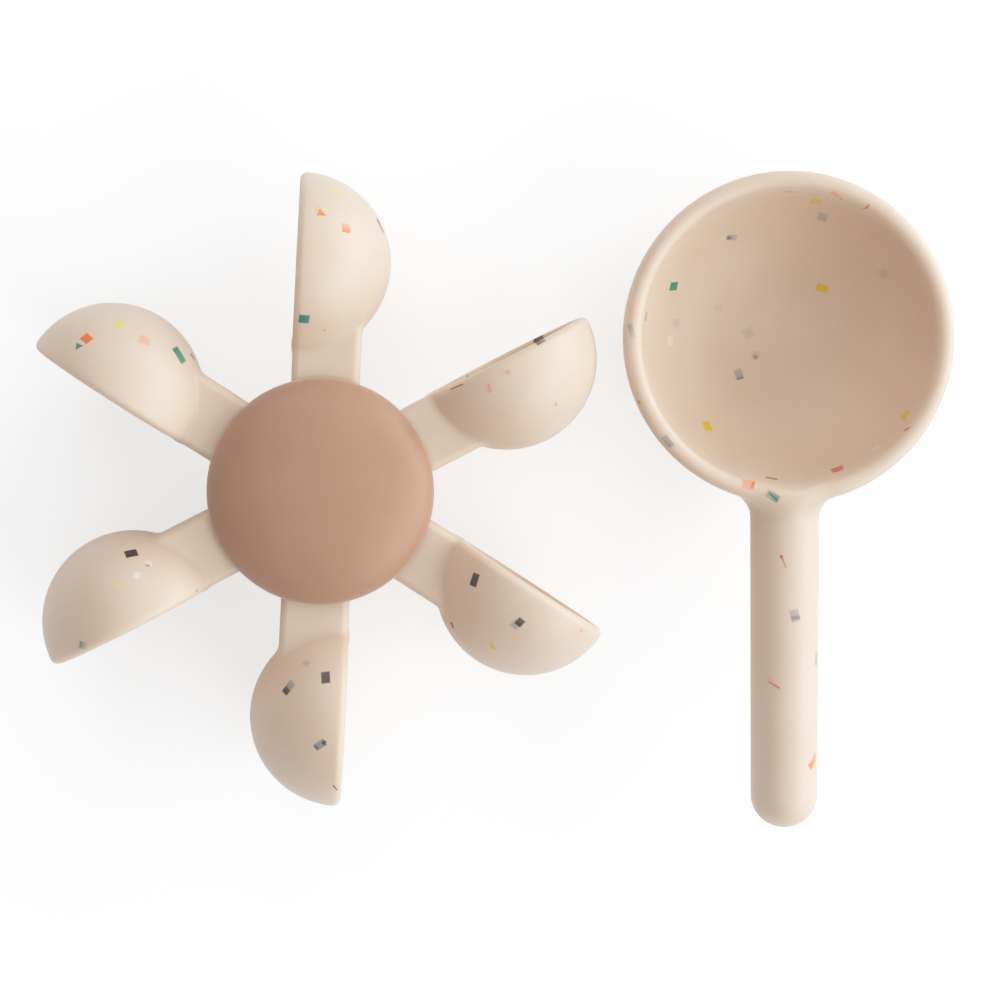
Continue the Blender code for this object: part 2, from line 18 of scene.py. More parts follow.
import bpy
import numpy as np
from mathutils import Matrix, Vector
from mathutils.bvhtree import BVHTree


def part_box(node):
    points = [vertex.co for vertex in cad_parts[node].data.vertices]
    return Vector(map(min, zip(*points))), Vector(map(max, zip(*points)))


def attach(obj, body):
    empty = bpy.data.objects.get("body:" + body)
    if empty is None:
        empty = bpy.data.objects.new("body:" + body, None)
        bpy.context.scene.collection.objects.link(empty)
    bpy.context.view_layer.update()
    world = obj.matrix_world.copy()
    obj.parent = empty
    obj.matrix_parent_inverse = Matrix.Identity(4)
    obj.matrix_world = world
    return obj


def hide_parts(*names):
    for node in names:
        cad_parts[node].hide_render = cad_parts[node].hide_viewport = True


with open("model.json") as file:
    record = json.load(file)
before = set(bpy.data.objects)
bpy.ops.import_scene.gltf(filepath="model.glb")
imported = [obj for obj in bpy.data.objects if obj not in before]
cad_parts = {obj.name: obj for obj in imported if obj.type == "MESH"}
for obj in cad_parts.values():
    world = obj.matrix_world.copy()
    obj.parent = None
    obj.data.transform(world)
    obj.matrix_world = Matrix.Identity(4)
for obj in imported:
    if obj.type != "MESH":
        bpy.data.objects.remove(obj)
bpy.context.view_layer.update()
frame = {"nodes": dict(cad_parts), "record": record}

LOG = logging.getLogger("bath_water_wheel")
MM = 0.001
Colour = tuple[float, float, float]
Point2 = tuple[float, float]
Field = Callable[[np.ndarray], np.ndarray]


def linear(red: int, green: int, blue: int) -> Colour:
    """Turn a screen colour into the renderer's linear one.

    Args:
        red: Red from 0 to 255.
        green: Green from 0 to 255.
        blue: Blue from 0 to 255.

    Returns:
        The linear red, green and blue.
    """
    shares = [part / 255 for part in (red, green, blue)]
    bright = [((share + 0.055) / 1.055) ** 2.4 if share > 0.04045 else share / 12.92 for share in shares]
    return (bright[0], bright[1], bright[2])


class Tint(Enum):
    """Colours of the flakes cast into the silicone."""

    ORANGE = linear(240, 116, 42)
    RUST = linear(206, 88, 40)
    TEAL = linear(42, 132, 114)
    GREEN = linear(46, 142, 116)
    YELLOW = linear(222, 190, 4)
    LEMON = linear(234, 216, 80)
    PINK = linear(244, 160, 140)
    ROSE = linear(216, 132, 118)
    UMBER = linear(70, 52, 50)
    SLATE = linear(150, 152, 152)
    CHALK = linear(240, 234, 222)


class FlakeShape(Enum):
    """Outlines of a flake."""

    BLOCK = "block"
    TRIANGLE = "triangle"


@dataclass(frozen=True)
class Spot:
    """One flake as the photograph shows it, in pixels of the 1000-pixel frame.

    turn is the direction of its length in degrees, anticlockwise from the right.
    start and end are how strongly its two ends show: a flake that dips into the
    silicone fades along its length.
    """

    x: float
    y: float
    length: float
    width: float
    turn: float
    tint: Tint
    start: float = 1.0
    end: float = 1.0
    soft: float = 0.12
    shape: FlakeShape = FlakeShape.BLOCK


@dataclass(frozen=True)
class PhotoFlakes:
    """The flakes that the photograph shows on one moulding, and a pixel inside its outline."""

    towards: Point2
    spots: tuple[Spot, ...]


@dataclass(frozen=True)
class Flake:
    """One flake in its moulding's own axes, in metres."""

    centre: Vector
    along: Vector
    normal: Vector
    half_length: float
    half_width: float
    tint: Tint
    start: float
    end: float
    soft: float
    shape: FlakeShape
    depth: float = 1.0 * MM

    def mask(self, shader: "Shader") -> "Value":
        """Work out how strongly the flake shows at each point.

        Args:
            shader: The material that the nodes go to.

        Returns:
            1 where the flake shows fully, 0 outside it.
        """
        across_way = self.normal.cross(self.along)
        along = shader.run(self.along / self.half_length, self.centre)
        across = shader.run(across_way / self.half_width, self.centre)
        deep = shader.run(self.normal / self.depth, self.centre)
        if self.shape is FlakeShape.TRIANGLE:
            outline = shader.math("MULTIPLY_ADD", abs(across), 2.0, along).at_least(abs(along))
        else:
            outline = abs(along).at_least(abs(across))
        mask = shader.smooth_step(outline.at_least(abs(deep)), 1 + self.soft, 1 - self.soft)
        if self.start == self.end == 1.0:
            return mask
        if self.start == self.end:
            return mask * self.start
        middle = (self.start + self.end) / 2
        return mask * shader.math("MULTIPLY_ADD", along, (self.end - self.start) / 2, middle)


class Value:
    """A number that varies over a surface; arithmetic on it adds Math nodes."""

    def __init__(self, shader: "Shader", socket: bpy.types.NodeSocket) -> None:
        """Keep the socket and the shader that it belongs to."""
        self.shader = shader
        self.socket = socket

    def __add__(self, other: "Value | float") -> "Value":
        """Add."""
        return self.shader.math("ADD", self, other)

    __radd__ = __add__

    def __sub__(self, other: "Value | float") -> "Value":
        """Subtract."""
        return self.shader.math("SUBTRACT", self, other)

    def __rsub__(self, other: float) -> "Value":
        """Subtract from a number."""
        return self.shader.math("SUBTRACT", other, self)

    def __mul__(self, other: "Value | float") -> "Value":
        """Multiply."""
        return self.shader.math("MULTIPLY", self, other)

    __rmul__ = __mul__

    def __abs__(self) -> "Value":
        """Return the size without its sign."""
        return self.shader.math("ABSOLUTE", self)

    def at_least(self, other: "Value | float") -> "Value":
        """Return the larger of two values."""
        return self.shader.math("MAXIMUM", self, other)


Input = Value | bpy.types.NodeSocket | float | int | Sequence[float]
Inputs = dict[int | str, Input]


class Shader:
    """A material whose nodes are added through a few short methods.

    The mix_ numbers are the colour sockets of a Mix node.
    """

    mix_share = 0
    mix_first = 6
    mix_second = 7
    mix_result = 2

    def __init__(self, name: str) -> None:
        """Start a material with an empty Principled shader."""
        self.material = bpy.data.materials.new(name)
        self.material.use_nodes = True
        self.tree = self.material.node_tree
        self.surface = self.tree.nodes["Principled BSDF"]
        self.coordinates = self.node("ShaderNodeTexCoord", {}, {}).outputs["Object"]

    def node(self, kind: str, settings: dict[str, object], inputs: Inputs) -> bpy.types.Node:
        """Add any node.

        Args:
            kind: The node's type.
            settings: Its own settings, set first.
            inputs: A value or a link for each named or numbered socket.

        Returns:
            The new node.
        """
        node = self.tree.nodes.new(kind)
        for setting, choice in settings.items():
            setattr(node, setting, choice)
        for key, value in inputs.items():
            self.feed(node.inputs[key], value)
        return node

    def feed(self, socket: bpy.types.NodeSocket, value: Input) -> None:
        """Link or set one input socket.

        Args:
            socket: The input.
            value: What it takes: a varying value or a socket to link, or else a constant.
        """
        link = value.socket if isinstance(value, Value) else value
        if isinstance(link, bpy.types.NodeSocket):
            self.tree.links.new(link, socket)
        else:
            socket.default_value = link

    def math(self, operation: str, *terms: Value | float) -> Value:
        """Add a Math node on values and numbers, and return its result."""
        node = self.node("ShaderNodeMath", {"operation": operation}, dict(enumerate(terms)))
        return Value(self, node.outputs[0])

    def run(self, axis: Vector, start: Vector) -> Value:
        """Return how far along an axis each point lies from a start."""
        inputs: Inputs = {0: self.coordinates, 1: axis}
        node = self.node("ShaderNodeVectorMath", {"operation": "DOT_PRODUCT"}, inputs)
        return Value(self, node.outputs["Value"]) - axis.dot(start)

    def noise(self, scale: float, detail: float = 2.0) -> Value:
        """Return a soft noise from 0 to 1 in the object's own space, scale to the metre."""
        inputs: Inputs = {"Vector": self.coordinates, "Scale": scale, "Detail": detail}
        return Value(self, self.node("ShaderNodeTexNoise", {}, inputs).outputs["Fac"])

    def smooth_step(self, value: Value, low: float, high: float) -> Value:
        """Return 0 below low, 1 above high, and an S-curve between; low may be above high."""
        inputs: Inputs = {"Value": value, "From Min": low, "From Max": high}
        node = self.node("ShaderNodeMapRange", {"interpolation_type": "SMOOTHSTEP"}, inputs)
        return Value(self, node.outputs["Result"])

    def blend(self, share: Value | float, first: Input, second: Input) -> bpy.types.NodeSocket:
        """Mix two colours.

        Args:
            share: How much of the second shows.
            first: A colour or a link.
            second: A colour or a link.

        Returns:
            The mixed colour's socket.
        """
        colours = [(*c, 1.0) if isinstance(c, tuple) else c for c in (first, second)]
        inputs: Inputs = {self.mix_share: share, self.mix_first: colours[0], self.mix_second: colours[1]}
        return self.node("ShaderNodeMix", {"data_type": "RGBA"}, inputs).outputs[self.mix_result]

    def bump(self, height: Value, distance: float, strength: float) -> bpy.types.NodeSocket:
        """Return a normal that a height field roughens by so many metres."""
        inputs: Inputs = {"Strength": strength, "Distance": distance, "Height": height}
        return self.node("ShaderNodeBump", {}, inputs).outputs["Normal"]

    def finish(self, **inputs: Input) -> bpy.types.Material:
        """Set the surface's sockets.

        Args:
            inputs: A value or a link for each socket, with _ for a space in its name.

        Returns:
            The material.
        """
        for name, value in inputs.items():
            self.feed(self.surface.inputs[name.replace("_", " ")], value)
        return self.material


@dataclass(frozen=True)
class Finish:
    """A moulded finish: two tones that cloud into each other, and a fine grain that varies the gloss.

    slot is the record's material slot, the scales are to the metre, and the
    scatter_ values are for light that soaks in and comes out again.
    """

    slot: str
    colour: Colour
    shade: Colour
    roughness: float
    roughness_spread: float = 0.10
    cloud_scale: float = 80.0
    cloud_low: float = 0.3
    cloud_high: float = 0.7
    grain_scale: float = 3200.0
    grain_detail: float = 3.0
    grain_height: float = 0.015 * MM
    grain_strength: float = 0.3
    specular: float = 0.5
    sheen: float = 0.0
    sheen_roughness: float = 0.35
    scatter_share: float = 0.0
    scatter_depth: float = 1.0 * MM
    scatter_tint: Colour = (1.0, 1.0, 1.0)

    def material(self, name: str, flakes: Sequence[Flake] = ()) -> bpy.types.Material:
        """Make the material of one piece.

        Args:
            name: The material's name.
            flakes: The flakes cast into the piece, the deepest first.

        Returns:
            The material.
        """
        shader = Shader(name)
        cloud = shader.smooth_step(shader.noise(self.cloud_scale), self.cloud_low, self.cloud_high)
        colour = shader.blend(cloud, self.colour, self.shade)
        for flake in flakes:
            colour = shader.blend(flake.mask(shader), colour, flake.tint.value)
        grain = shader.noise(self.grain_scale, self.grain_detail)
        return shader.finish(
            Base_Color=colour,
            Roughness=grain * self.roughness_spread + (self.roughness - self.roughness_spread / 2),
            Normal=shader.bump(grain, self.grain_height, self.grain_strength),
            Specular_IOR_Level=self.specular,
            Sheen_Weight=self.sheen,
            Sheen_Roughness=self.sheen_roughness,
            Subsurface_Weight=self.scatter_share,
            Subsurface_Scale=self.scatter_depth,
            Subsurface_Radius=self.scatter_tint,
        )


@dataclass(frozen=True)
class Steel:
    """Bright stainless steel with faint turning marks."""

    colour: Colour = (0.62, 0.62, 0.60)
    mark_colour: Colour = (0.50, 0.50, 0.49)
    roughness: float = 0.20
    mark_roughness: float = 0.16
    mark_scale: float = 1800.0
    mark_detail: float = 4.0

    def material(self, name: str) -> bpy.types.Material:
        """Make the material under this name."""
        shader = Shader(name)
        marks = shader.noise(self.mark_scale, self.mark_detail)
        return shader.finish(
            Base_Color=shader.blend(marks, self.colour, self.mark_colour),
            Roughness=marks * self.mark_roughness + self.roughness,
            Metallic=1.0,
        )


SPECKLED_SILICONE = Finish(
    "cream_silicone",
    linear(223, 201, 181),
    linear(221, 198, 177),
    0.46,
    cloud_scale=45.0,
    cloud_low=0.35,
    cloud_high=0.65,
    grain_scale=2600.0,
    grain_detail=2.0,
    grain_height=0.02 * MM,
    grain_strength=0.25,
    specular=0.8,
    sheen=0.35,
    scatter_share=0.6,
    scatter_depth=3.5 * MM,
    scatter_tint=(1.0, 0.85, 0.75),
)
TAN_SILICONE = Finish(
    "tan_silicone",
    linear(177, 137, 113),
    linear(174, 134, 110),
    0.46,
    roughness_spread=0.12,
    cloud_scale=60.0,
    grain_scale=2400.0,
    grain_detail=2.0,
    grain_height=0.03 * MM,
    sheen=0.8,
    scatter_share=0.08,
    scatter_depth=1.5 * MM,
    scatter_tint=(1.0, 0.6, 0.45),
)
CREAM_PLASTIC = Finish("cream_plastic", (0.74, 0.64, 0.55), (0.7030, 0.6016, 0.5115), 0.42)
WHITE_PLASTIC = Finish("white_plastic", (0.86, 0.86, 0.84), (0.8170, 0.8084, 0.7812), 0.32)


def merged(first: np.ndarray, second: np.ndarray, fillet: float) -> np.ndarray:
    """Return the distances to two shapes joined, with a fillet of this radius where they meet."""
    near = np.hypot(np.maximum(fillet - first, 0.0), np.maximum(fillet - second, 0.0))
    return np.maximum(fillet, np.minimum(first, second)) - near


def common(first: np.ndarray, second: np.ndarray, edge: float) -> np.ndarray:
    """Return the distances to what two shapes share, with an edge rounded by this radius."""
    past = np.hypot(np.maximum(edge + first, 0.0), np.maximum(edge + second, 0.0))
    return np.minimum(-edge, np.maximum(first, second)) + past


def rounded_block(
    points: np.ndarray, low: Sequence[float], high: Sequence[float], edge: float
) -> np.ndarray:
    """Return distances to a box with round edges.

    Args:
        points: Rows of x, y and z.
        low: The box's lowest corner.
        high: Its highest corner.
        edge: The radius of its edges.

    Returns:
        Distances, negative inside.
    """
    corners = np.array([low, high])
    half = (corners[1] - corners[0]) / 2 - edge
    away = np.abs(points - corners.mean(axis=0)) - half
    outside = np.linalg.norm(np.maximum(away, 0.0), axis=1)
    return outside + np.minimum(away.max(axis=1), 0.0) - edge


@dataclass
class FieldMesher:
    """Turns a distance field into an even quad mesh on its zero level."""

    pitch: float
    low: Sequence[float]
    high: Sequence[float]
    rounds: int = 4
    ease: float = 0.5
    passes: int = 2
    probe_share: float = 0.05
    least_steepness: float = 0.05

    def mesh(self, name: str, shape: Field) -> bpy.types.Mesh:
        """Mesh a field.

        Args:
            name: The mesh's name.
            shape: Distances for rows of points, negative inside.

        Returns:
            A closed mesh, shaded smooth.
        """
        points, quads = self.net(shape)
        links = np.concatenate([quads[:, [i, (i + 1) % 4]] for i in range(4)])
        for _ in range(self.rounds):
            points = self.project(self.relax(points, links), shape)
        points = self.project(points, shape)
        mesh = bpy.data.meshes.new(name)
        mesh.from_pydata(points.tolist(), [], quads.tolist())
        mesh.shade_smooth()
        return mesh

    def net(self, shape: Field) -> tuple[np.ndarray, np.ndarray]:
        """Put a vertex in each grid cell that the surface crosses.

        Args:
            shape: Distances for rows of points, negative inside.

        Returns:
            The vertices, and the quads between them.
        """
        lines = [np.arange(a, b + self.pitch, self.pitch) for a, b in zip(self.low, self.high)]
        grid = np.stack(np.meshgrid(*lines, indexing="ij"), axis=-1)
        values = shape(grid.reshape(-1, 3)).reshape(grid.shape[:3])
        cells = tuple(count - 1 for count in values.shape)
        total = np.zeros((*cells, 3))
        count = np.zeros(cells, int)
        found = []
        for axis in range(3):
            near = np.moveaxis(values, axis, 0)
            start, stop = near[:-1], near[1:]
            cross = (start < 0) != (stop < 0)
            share = np.where(cross, start / np.where(cross, start - stop, 1.0), 0.0)
            place = np.moveaxis(grid, axis, 0)[:-1].copy()
            place[..., axis] += share * self.pitch
            sums = np.moveaxis(total, axis, 0)
            counts = np.moveaxis(count, axis, 0)
            place[~cross] = 0.0
            for second in (slice(0, -1), slice(1, None)):
                for third in (slice(0, -1), slice(1, None)):
                    sums += place[:, second, third]
                    counts += cross[:, second, third]
            found.append((axis, cross, start < 0))
        number = np.full(cells, -1)
        used = count > 0
        number[used] = np.arange(used.sum())
        quads = [self.quads_along(number, *entry) for entry in found]
        return total[used] / count[used][:, None], np.concatenate(quads)

    @staticmethod
    def quads_along(
        number: np.ndarray, axis: int, cross: np.ndarray, leaving: np.ndarray
    ) -> np.ndarray:
        """Return the quads around the grid edges along one axis, facing out.

        Args:
            number: Each cell's vertex number.
            axis: The axis of the edges.
            cross: Which edges the surface crosses.
            leaving: Which edges start inside the shape.

        Returns:
            Rows of four vertex numbers.
        """
        cell = np.moveaxis(number, axis, 0)
        i, j, k = np.nonzero(cross[:, 1:-1, 1:-1])
        ring = np.stack(
            [cell[i, j, k], cell[i, j + 1, k], cell[i, j + 1, k + 1], cell[i, j, k + 1]], axis=1
        )
        outward = leaving[i, j + 1, k + 1] if axis != 1 else ~leaving[i, j + 1, k + 1]
        return np.where(outward[:, None], ring, ring[:, ::-1])

    def relax(self, points: np.ndarray, links: np.ndarray) -> np.ndarray:
        """Move the points part of the way to the middle of their neighbours.

        Args:
            points: Rows of x, y and z.
            links: Rows of two neighbours' numbers.

        Returns:
            The moved points.
        """
        total = np.zeros_like(points)
        count = np.zeros(len(points))
        for here, there in ((0, 1), (1, 0)):
            np.add.at(total, links[:, here], points[links[:, there]])
            np.add.at(count, links[:, here], 1)
        return points + (total / count[:, None] - points) * self.ease

    def project(self, points: np.ndarray, shape: Field) -> np.ndarray:
        """Move the points onto the field's zero level.

        Args:
            points: Rows of x, y and z.
            shape: Distances for rows of points, negative inside.

        Returns:
            The moved points.
        """
        step = self.pitch * self.probe_share
        for _ in range(self.passes):
            slope = np.empty_like(points)
            for axis in range(3):
                shift = np.zeros(3)
                shift[axis] = step
                slope[:, axis] = (shape(points + shift) - shape(points - shift)) / (2 * step)
            steep = np.maximum((slope * slope).sum(axis=1), self.least_steepness)
            points = points - slope * (shape(points) / steep)[:, None]
        return points


def arc(centre: Point2, radius: float, start: float, end: float, count: int = 8) -> list[Point2]:
    """Return points on a circle from one angle to another in degrees, in so many steps."""
    angles = [math.radians(start + (end - start) * i / count) for i in range(count + 1)]
    return [(centre[0] + radius * math.cos(a), centre[1] + radius * math.sin(a)) for a in angles]


def curve(start: Point2, control: Point2, end: Point2, count: int = 16) -> list[Point2]:
    """Return points on a quadratic curve.

    Args:
        start: Its first point.
        control: The point that it bends towards.
        end: Its last point.
        count: How many steps it has.

    Returns:
        The points, both ends included.
    """
    shares = [i / count for i in range(count + 1)]
    weights = [((1 - t) ** 2, 2 * t * (1 - t), t * t) for t in shares]
    return [
        (a * start[0] + b * control[0] + c * end[0], a * start[1] + b * control[1] + c * end[1])
        for a, b, c in weights
    ]


def lathe(
    name: str, profile: Sequence[Point2], steps: int = 128, sharp: float = 40.0
) -> bpy.types.Mesh:
    """Turn a profile about the Z axis.

    Args:
        name: The mesh's name.
        profile: Radii and heights that run down the outside and end on the axis, as they start.
        steps: How many sides a full turn has.
        sharp: The angle in degrees from which an edge is sharp.

    Returns:
        A closed mesh, shaded smooth but for its sharp edges.
    """
    turns = [2 * math.pi * i / steps for i in range(steps)]
    ring = [(r * math.cos(a), r * math.sin(a), z) for r, z in profile[1:-1] for a in turns]
    points = [(0.0, 0.0, profile[0][1]), *ring, (0.0, 0.0, profile[-1][1])]
    last = len(points) - 1
    rows = len(profile) - 2
    faces: list[tuple[int, ...]] = []
    for i in range(steps):
        j = (i + 1) % steps
        faces.append((0, 1 + i, 1 + j))
        for row in range(rows - 1):
            upper = 1 + row * steps
            lower = upper + steps
            faces.append((upper + i, lower + i, lower + j, upper + j))
        faces.append((last, 1 + (rows - 1) * steps + j, 1 + (rows - 1) * steps + i))
    mesh = bpy.data.meshes.new(name)
    mesh.from_pydata(points, [], faces)
    mesh.shade_smooth()
    mesh.set_sharp_from_angle(angle=math.radians(sharp))
    return mesh


def add_piece(
    node: str,
    form: str,
    mesh: bpy.types.Mesh,
    finish: Finish,
    body: str,
    place: Matrix,
    flakes: Sequence[Flake] = (),
) -> None:
    """Add one moulding in the place of a CAD node.

    Args:
        node: The CAD node that it stands for.
        form: What the piece's name adds to the node's.
        mesh: Its mesh, in its own axes.
        finish: Its finish, which gives the record's material slot.
        body: The body that carries it.
        place: Its place in the frame.
        flakes: The flakes cast into it, the deepest first.
    """
    piece = bpy.data.objects.new(f"{node}_{form}", mesh)
    bpy.context.scene.collection.objects.link(piece)
    mesh.materials.append(finish.material(f"{node}_{finish.slot}", flakes))
    piece.matrix_world = place
    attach(piece, body)
    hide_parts(node)
    LOG.info("%s: %d faces, for %s on %s", piece.name, len(mesh.polygons), node, body)


@dataclass
class PhotoCamera:
    """The camera that the photograph was taken from, above the wheel's axis."""

    aim: Vector = field(default_factory=lambda: Vector((0.0454, -0.0003, 0.0290)))
    distance: float = 0.85
    lean_right: float = -0.0611
    lean_up: float = 0.0398
    roll: float = -0.0521
    focal: float = 3365.4
    frame_side: int = 1000
    sensor: float = 36.0

    def __post_init__(self) -> None:
        """Work out the camera's axes and place."""
        side, rise = math.sin(self.lean_right), math.sin(self.lean_up)
        self.back = Vector((side, rise, math.sqrt(1 - side * side - rise * rise)))
        up = Vector((math.sin(self.roll), math.cos(self.roll), 0.0))
        self.up = (up - self.back * up.dot(self.back)).normalized()
        self.right = self.up.cross(self.back)
        self.eye = self.aim + self.back * self.distance

    def ray(self, x: float, y: float) -> Vector:
        """Find the direction that a pixel looks in.

        Args:
            x: Pixels from the left of the photograph.
            y: Pixels from its top.

        Returns:
            The direction, of unit length.
        """
        middle = self.frame_side / 2
        aside = self.right * (x - middle) + self.up * (middle - y)
        return (aside - self.back * self.focal).normalized()

    def build(self) -> None:
        """Put the camera in the scene."""
        data = bpy.data.cameras.new("photo_camera")
        data.sensor_width = self.sensor
        data.lens = self.focal / self.frame_side * self.sensor
        camera = bpy.data.objects.new("photo_camera", data)
        axes = Matrix((self.right, self.up, self.back)).transposed().to_4x4()
        camera.matrix_world = Matrix.Translation(self.eye) @ axes
        bpy.context.scene.collection.objects.link(camera)
        bpy.context.scene.camera = camera


@dataclass
class FlakeSetter:
    """Lays flakes on a moulding, by the photograph's pixels and at random elsewhere.

    A repeated entry in a list of chances is drawn more often.
    """

    camera: PhotoCamera
    mesh: bpy.types.Mesh
    most_stretch: float = 3.0
    search: int = 14
    lots: int = 8
    least_half: float = 0.6 * MM
    least_half_length: float = 0.84 * MM
    most_half_width: float = 1.1 * MM
    most_half: float = 1.6 * MM
    sight_slack: float = 2.0 * MM
    strengths: tuple[float, ...] = (1.0, 1.0, 0.85, 0.55, 0.35)
    fades: tuple[float, ...] = (1.0, 1.0, 0.4)
    softness: tuple[float, ...] = (0.12, 0.12, 0.3)
    shapes: tuple[FlakeShape, ...] = (FlakeShape.BLOCK, FlakeShape.BLOCK, FlakeShape.TRIANGLE)
    tints: tuple[Tint, ...] = (
        Tint.ORANGE,
        Tint.TEAL,
        Tint.YELLOW,
        Tint.PINK,
        Tint.UMBER,
        Tint.SLATE,
        Tint.RUST,
        Tint.GREEN,
    )

    def __post_init__(self) -> None:
        """Keep the mesh's faces for casting rays."""
        points = [vertex.co.copy() for vertex in self.mesh.vertices]
        self.tree = BVHTree.FromPolygons(points, [tuple(face.vertices) for face in self.mesh.polygons])

    def flakes(self, shown: PhotoFlakes, place: Matrix, hidden: int, seed: int) -> list[Flake]:
        """Lay all flakes of one moulding.

        Args:
            shown: The flakes that the photograph shows.
            place: The moulding's place.
            hidden: How many more lie on the faces that it doesn't show.
            seed: The seed of their draw.

        Returns:
            The flakes in the moulding's own axes, the hidden ones first.
        """
        laid = [self.lay(spot, place, shown.towards) for spot in shown.spots]
        seen = [flake for flake in laid if flake is not None]
        return self.scattered(hidden, place, seed, seen) + seen

    def lay(self, spot: Spot, place: Matrix, towards: Point2) -> Flake | None:
        """Lay one flake on the first surface behind its pixel.

        Args:
            spot: The flake in the photograph.
            place: The moulding's place.
            towards: A pixel inside the moulding's outline, for a flake on the very edge.

        Returns:
            The flake, or nothing where there is no surface.
        """
        inverse = place.inverted()
        eye = inverse @ self.camera.eye
        inward = Vector(towards) - Vector((spot.x, spot.y))
        for step in range(self.search):
            pixel = Vector((spot.x, spot.y)) + inward.normalized() * step
            look = inverse.to_3x3() @ self.camera.ray(pixel.x, pixel.y)
            hit, normal, _, away = self.tree.ray_cast(eye, look)
            if hit is not None:
                break
        else:
            return None
        turn = math.radians(spot.turn)
        sight = self.camera.right * math.cos(turn) + self.camera.up * math.sin(turn)
        sight = inverse.to_3x3() @ sight
        facing = min(look.dot(normal), -1 / self.most_stretch)
        along = sight - look * (sight.dot(normal) / facing)
        half_pixel = away / self.camera.focal / 2
        stretch = min(along.length, self.most_stretch)
        across = normal.cross(along).normalized()
        narrow = max((across - look * across.dot(look)).length, 1 / self.most_stretch)
        length, width = spot.length * half_pixel * stretch, spot.width * half_pixel / narrow
        looks = (spot.tint, spot.start, spot.end, spot.soft, spot.shape)
        return Flake(hit, across.cross(normal), normal, length, width, *looks)

    def scattered(self, count: int, place: Matrix, seed: int, seen: Sequence[Flake]) -> list[Flake]:
        """Lay flakes at random on the faces that the photograph doesn't show, well apart.

        Args:
            count: How many.
            place: The moulding's place.
            seed: The seed of the draw.
            seen: The flakes that are laid already.

        Returns:
            The flakes in the moulding's own axes.
        """
        draw = random.Random(seed)
        eye = place.inverted() @ self.camera.eye
        faces = [face for face in self.mesh.polygons if self.turned_away(face, eye)]
        shares = list(accumulate(face.area for face in faces))
        taken = [flake.centre for flake in seen]
        flakes = []
        for _ in range(count):
            drawn = draw.choices(faces, cum_weights=shares, k=self.lots)
            face = max(drawn, key=lambda lot: min((lot.center - spot).length for spot in taken))
            taken.append(face.center.copy())
            normal = face.normal.copy()
            random_way = Vector([draw.uniform(-1, 1) for _ in range(3)])
            length = draw.uniform(self.least_half_length, self.most_half)
            strength = draw.choice(self.strengths)
            flakes.append(
                Flake(
                    taken[-1],
                    normal.cross(random_way).normalized(),
                    normal,
                    length,
                    draw.uniform(self.least_half, min(length, self.most_half_width)),
                    draw.choice(self.tints),
                    strength,
                    strength * draw.choice(self.fades),
                    draw.choice(self.softness),
                    draw.choice(self.shapes),
                )
            )
        return flakes

    def turned_away(self, face: bpy.types.MeshPolygon, eye: Vector) -> bool:
        """Find out whether a face is out of the camera's sight.

        Args:
            face: The face.
            eye: The camera's place in the moulding's axes.

        Returns:
            True if it faces away or something lies before it.
        """
        sight = face.center - eye
        if face.normal.dot(sight) > 0:
            return True
        away = self.tree.ray_cast(eye, sight.normalized())[3]
        return away is not None and away < sight.length - self.sight_slack


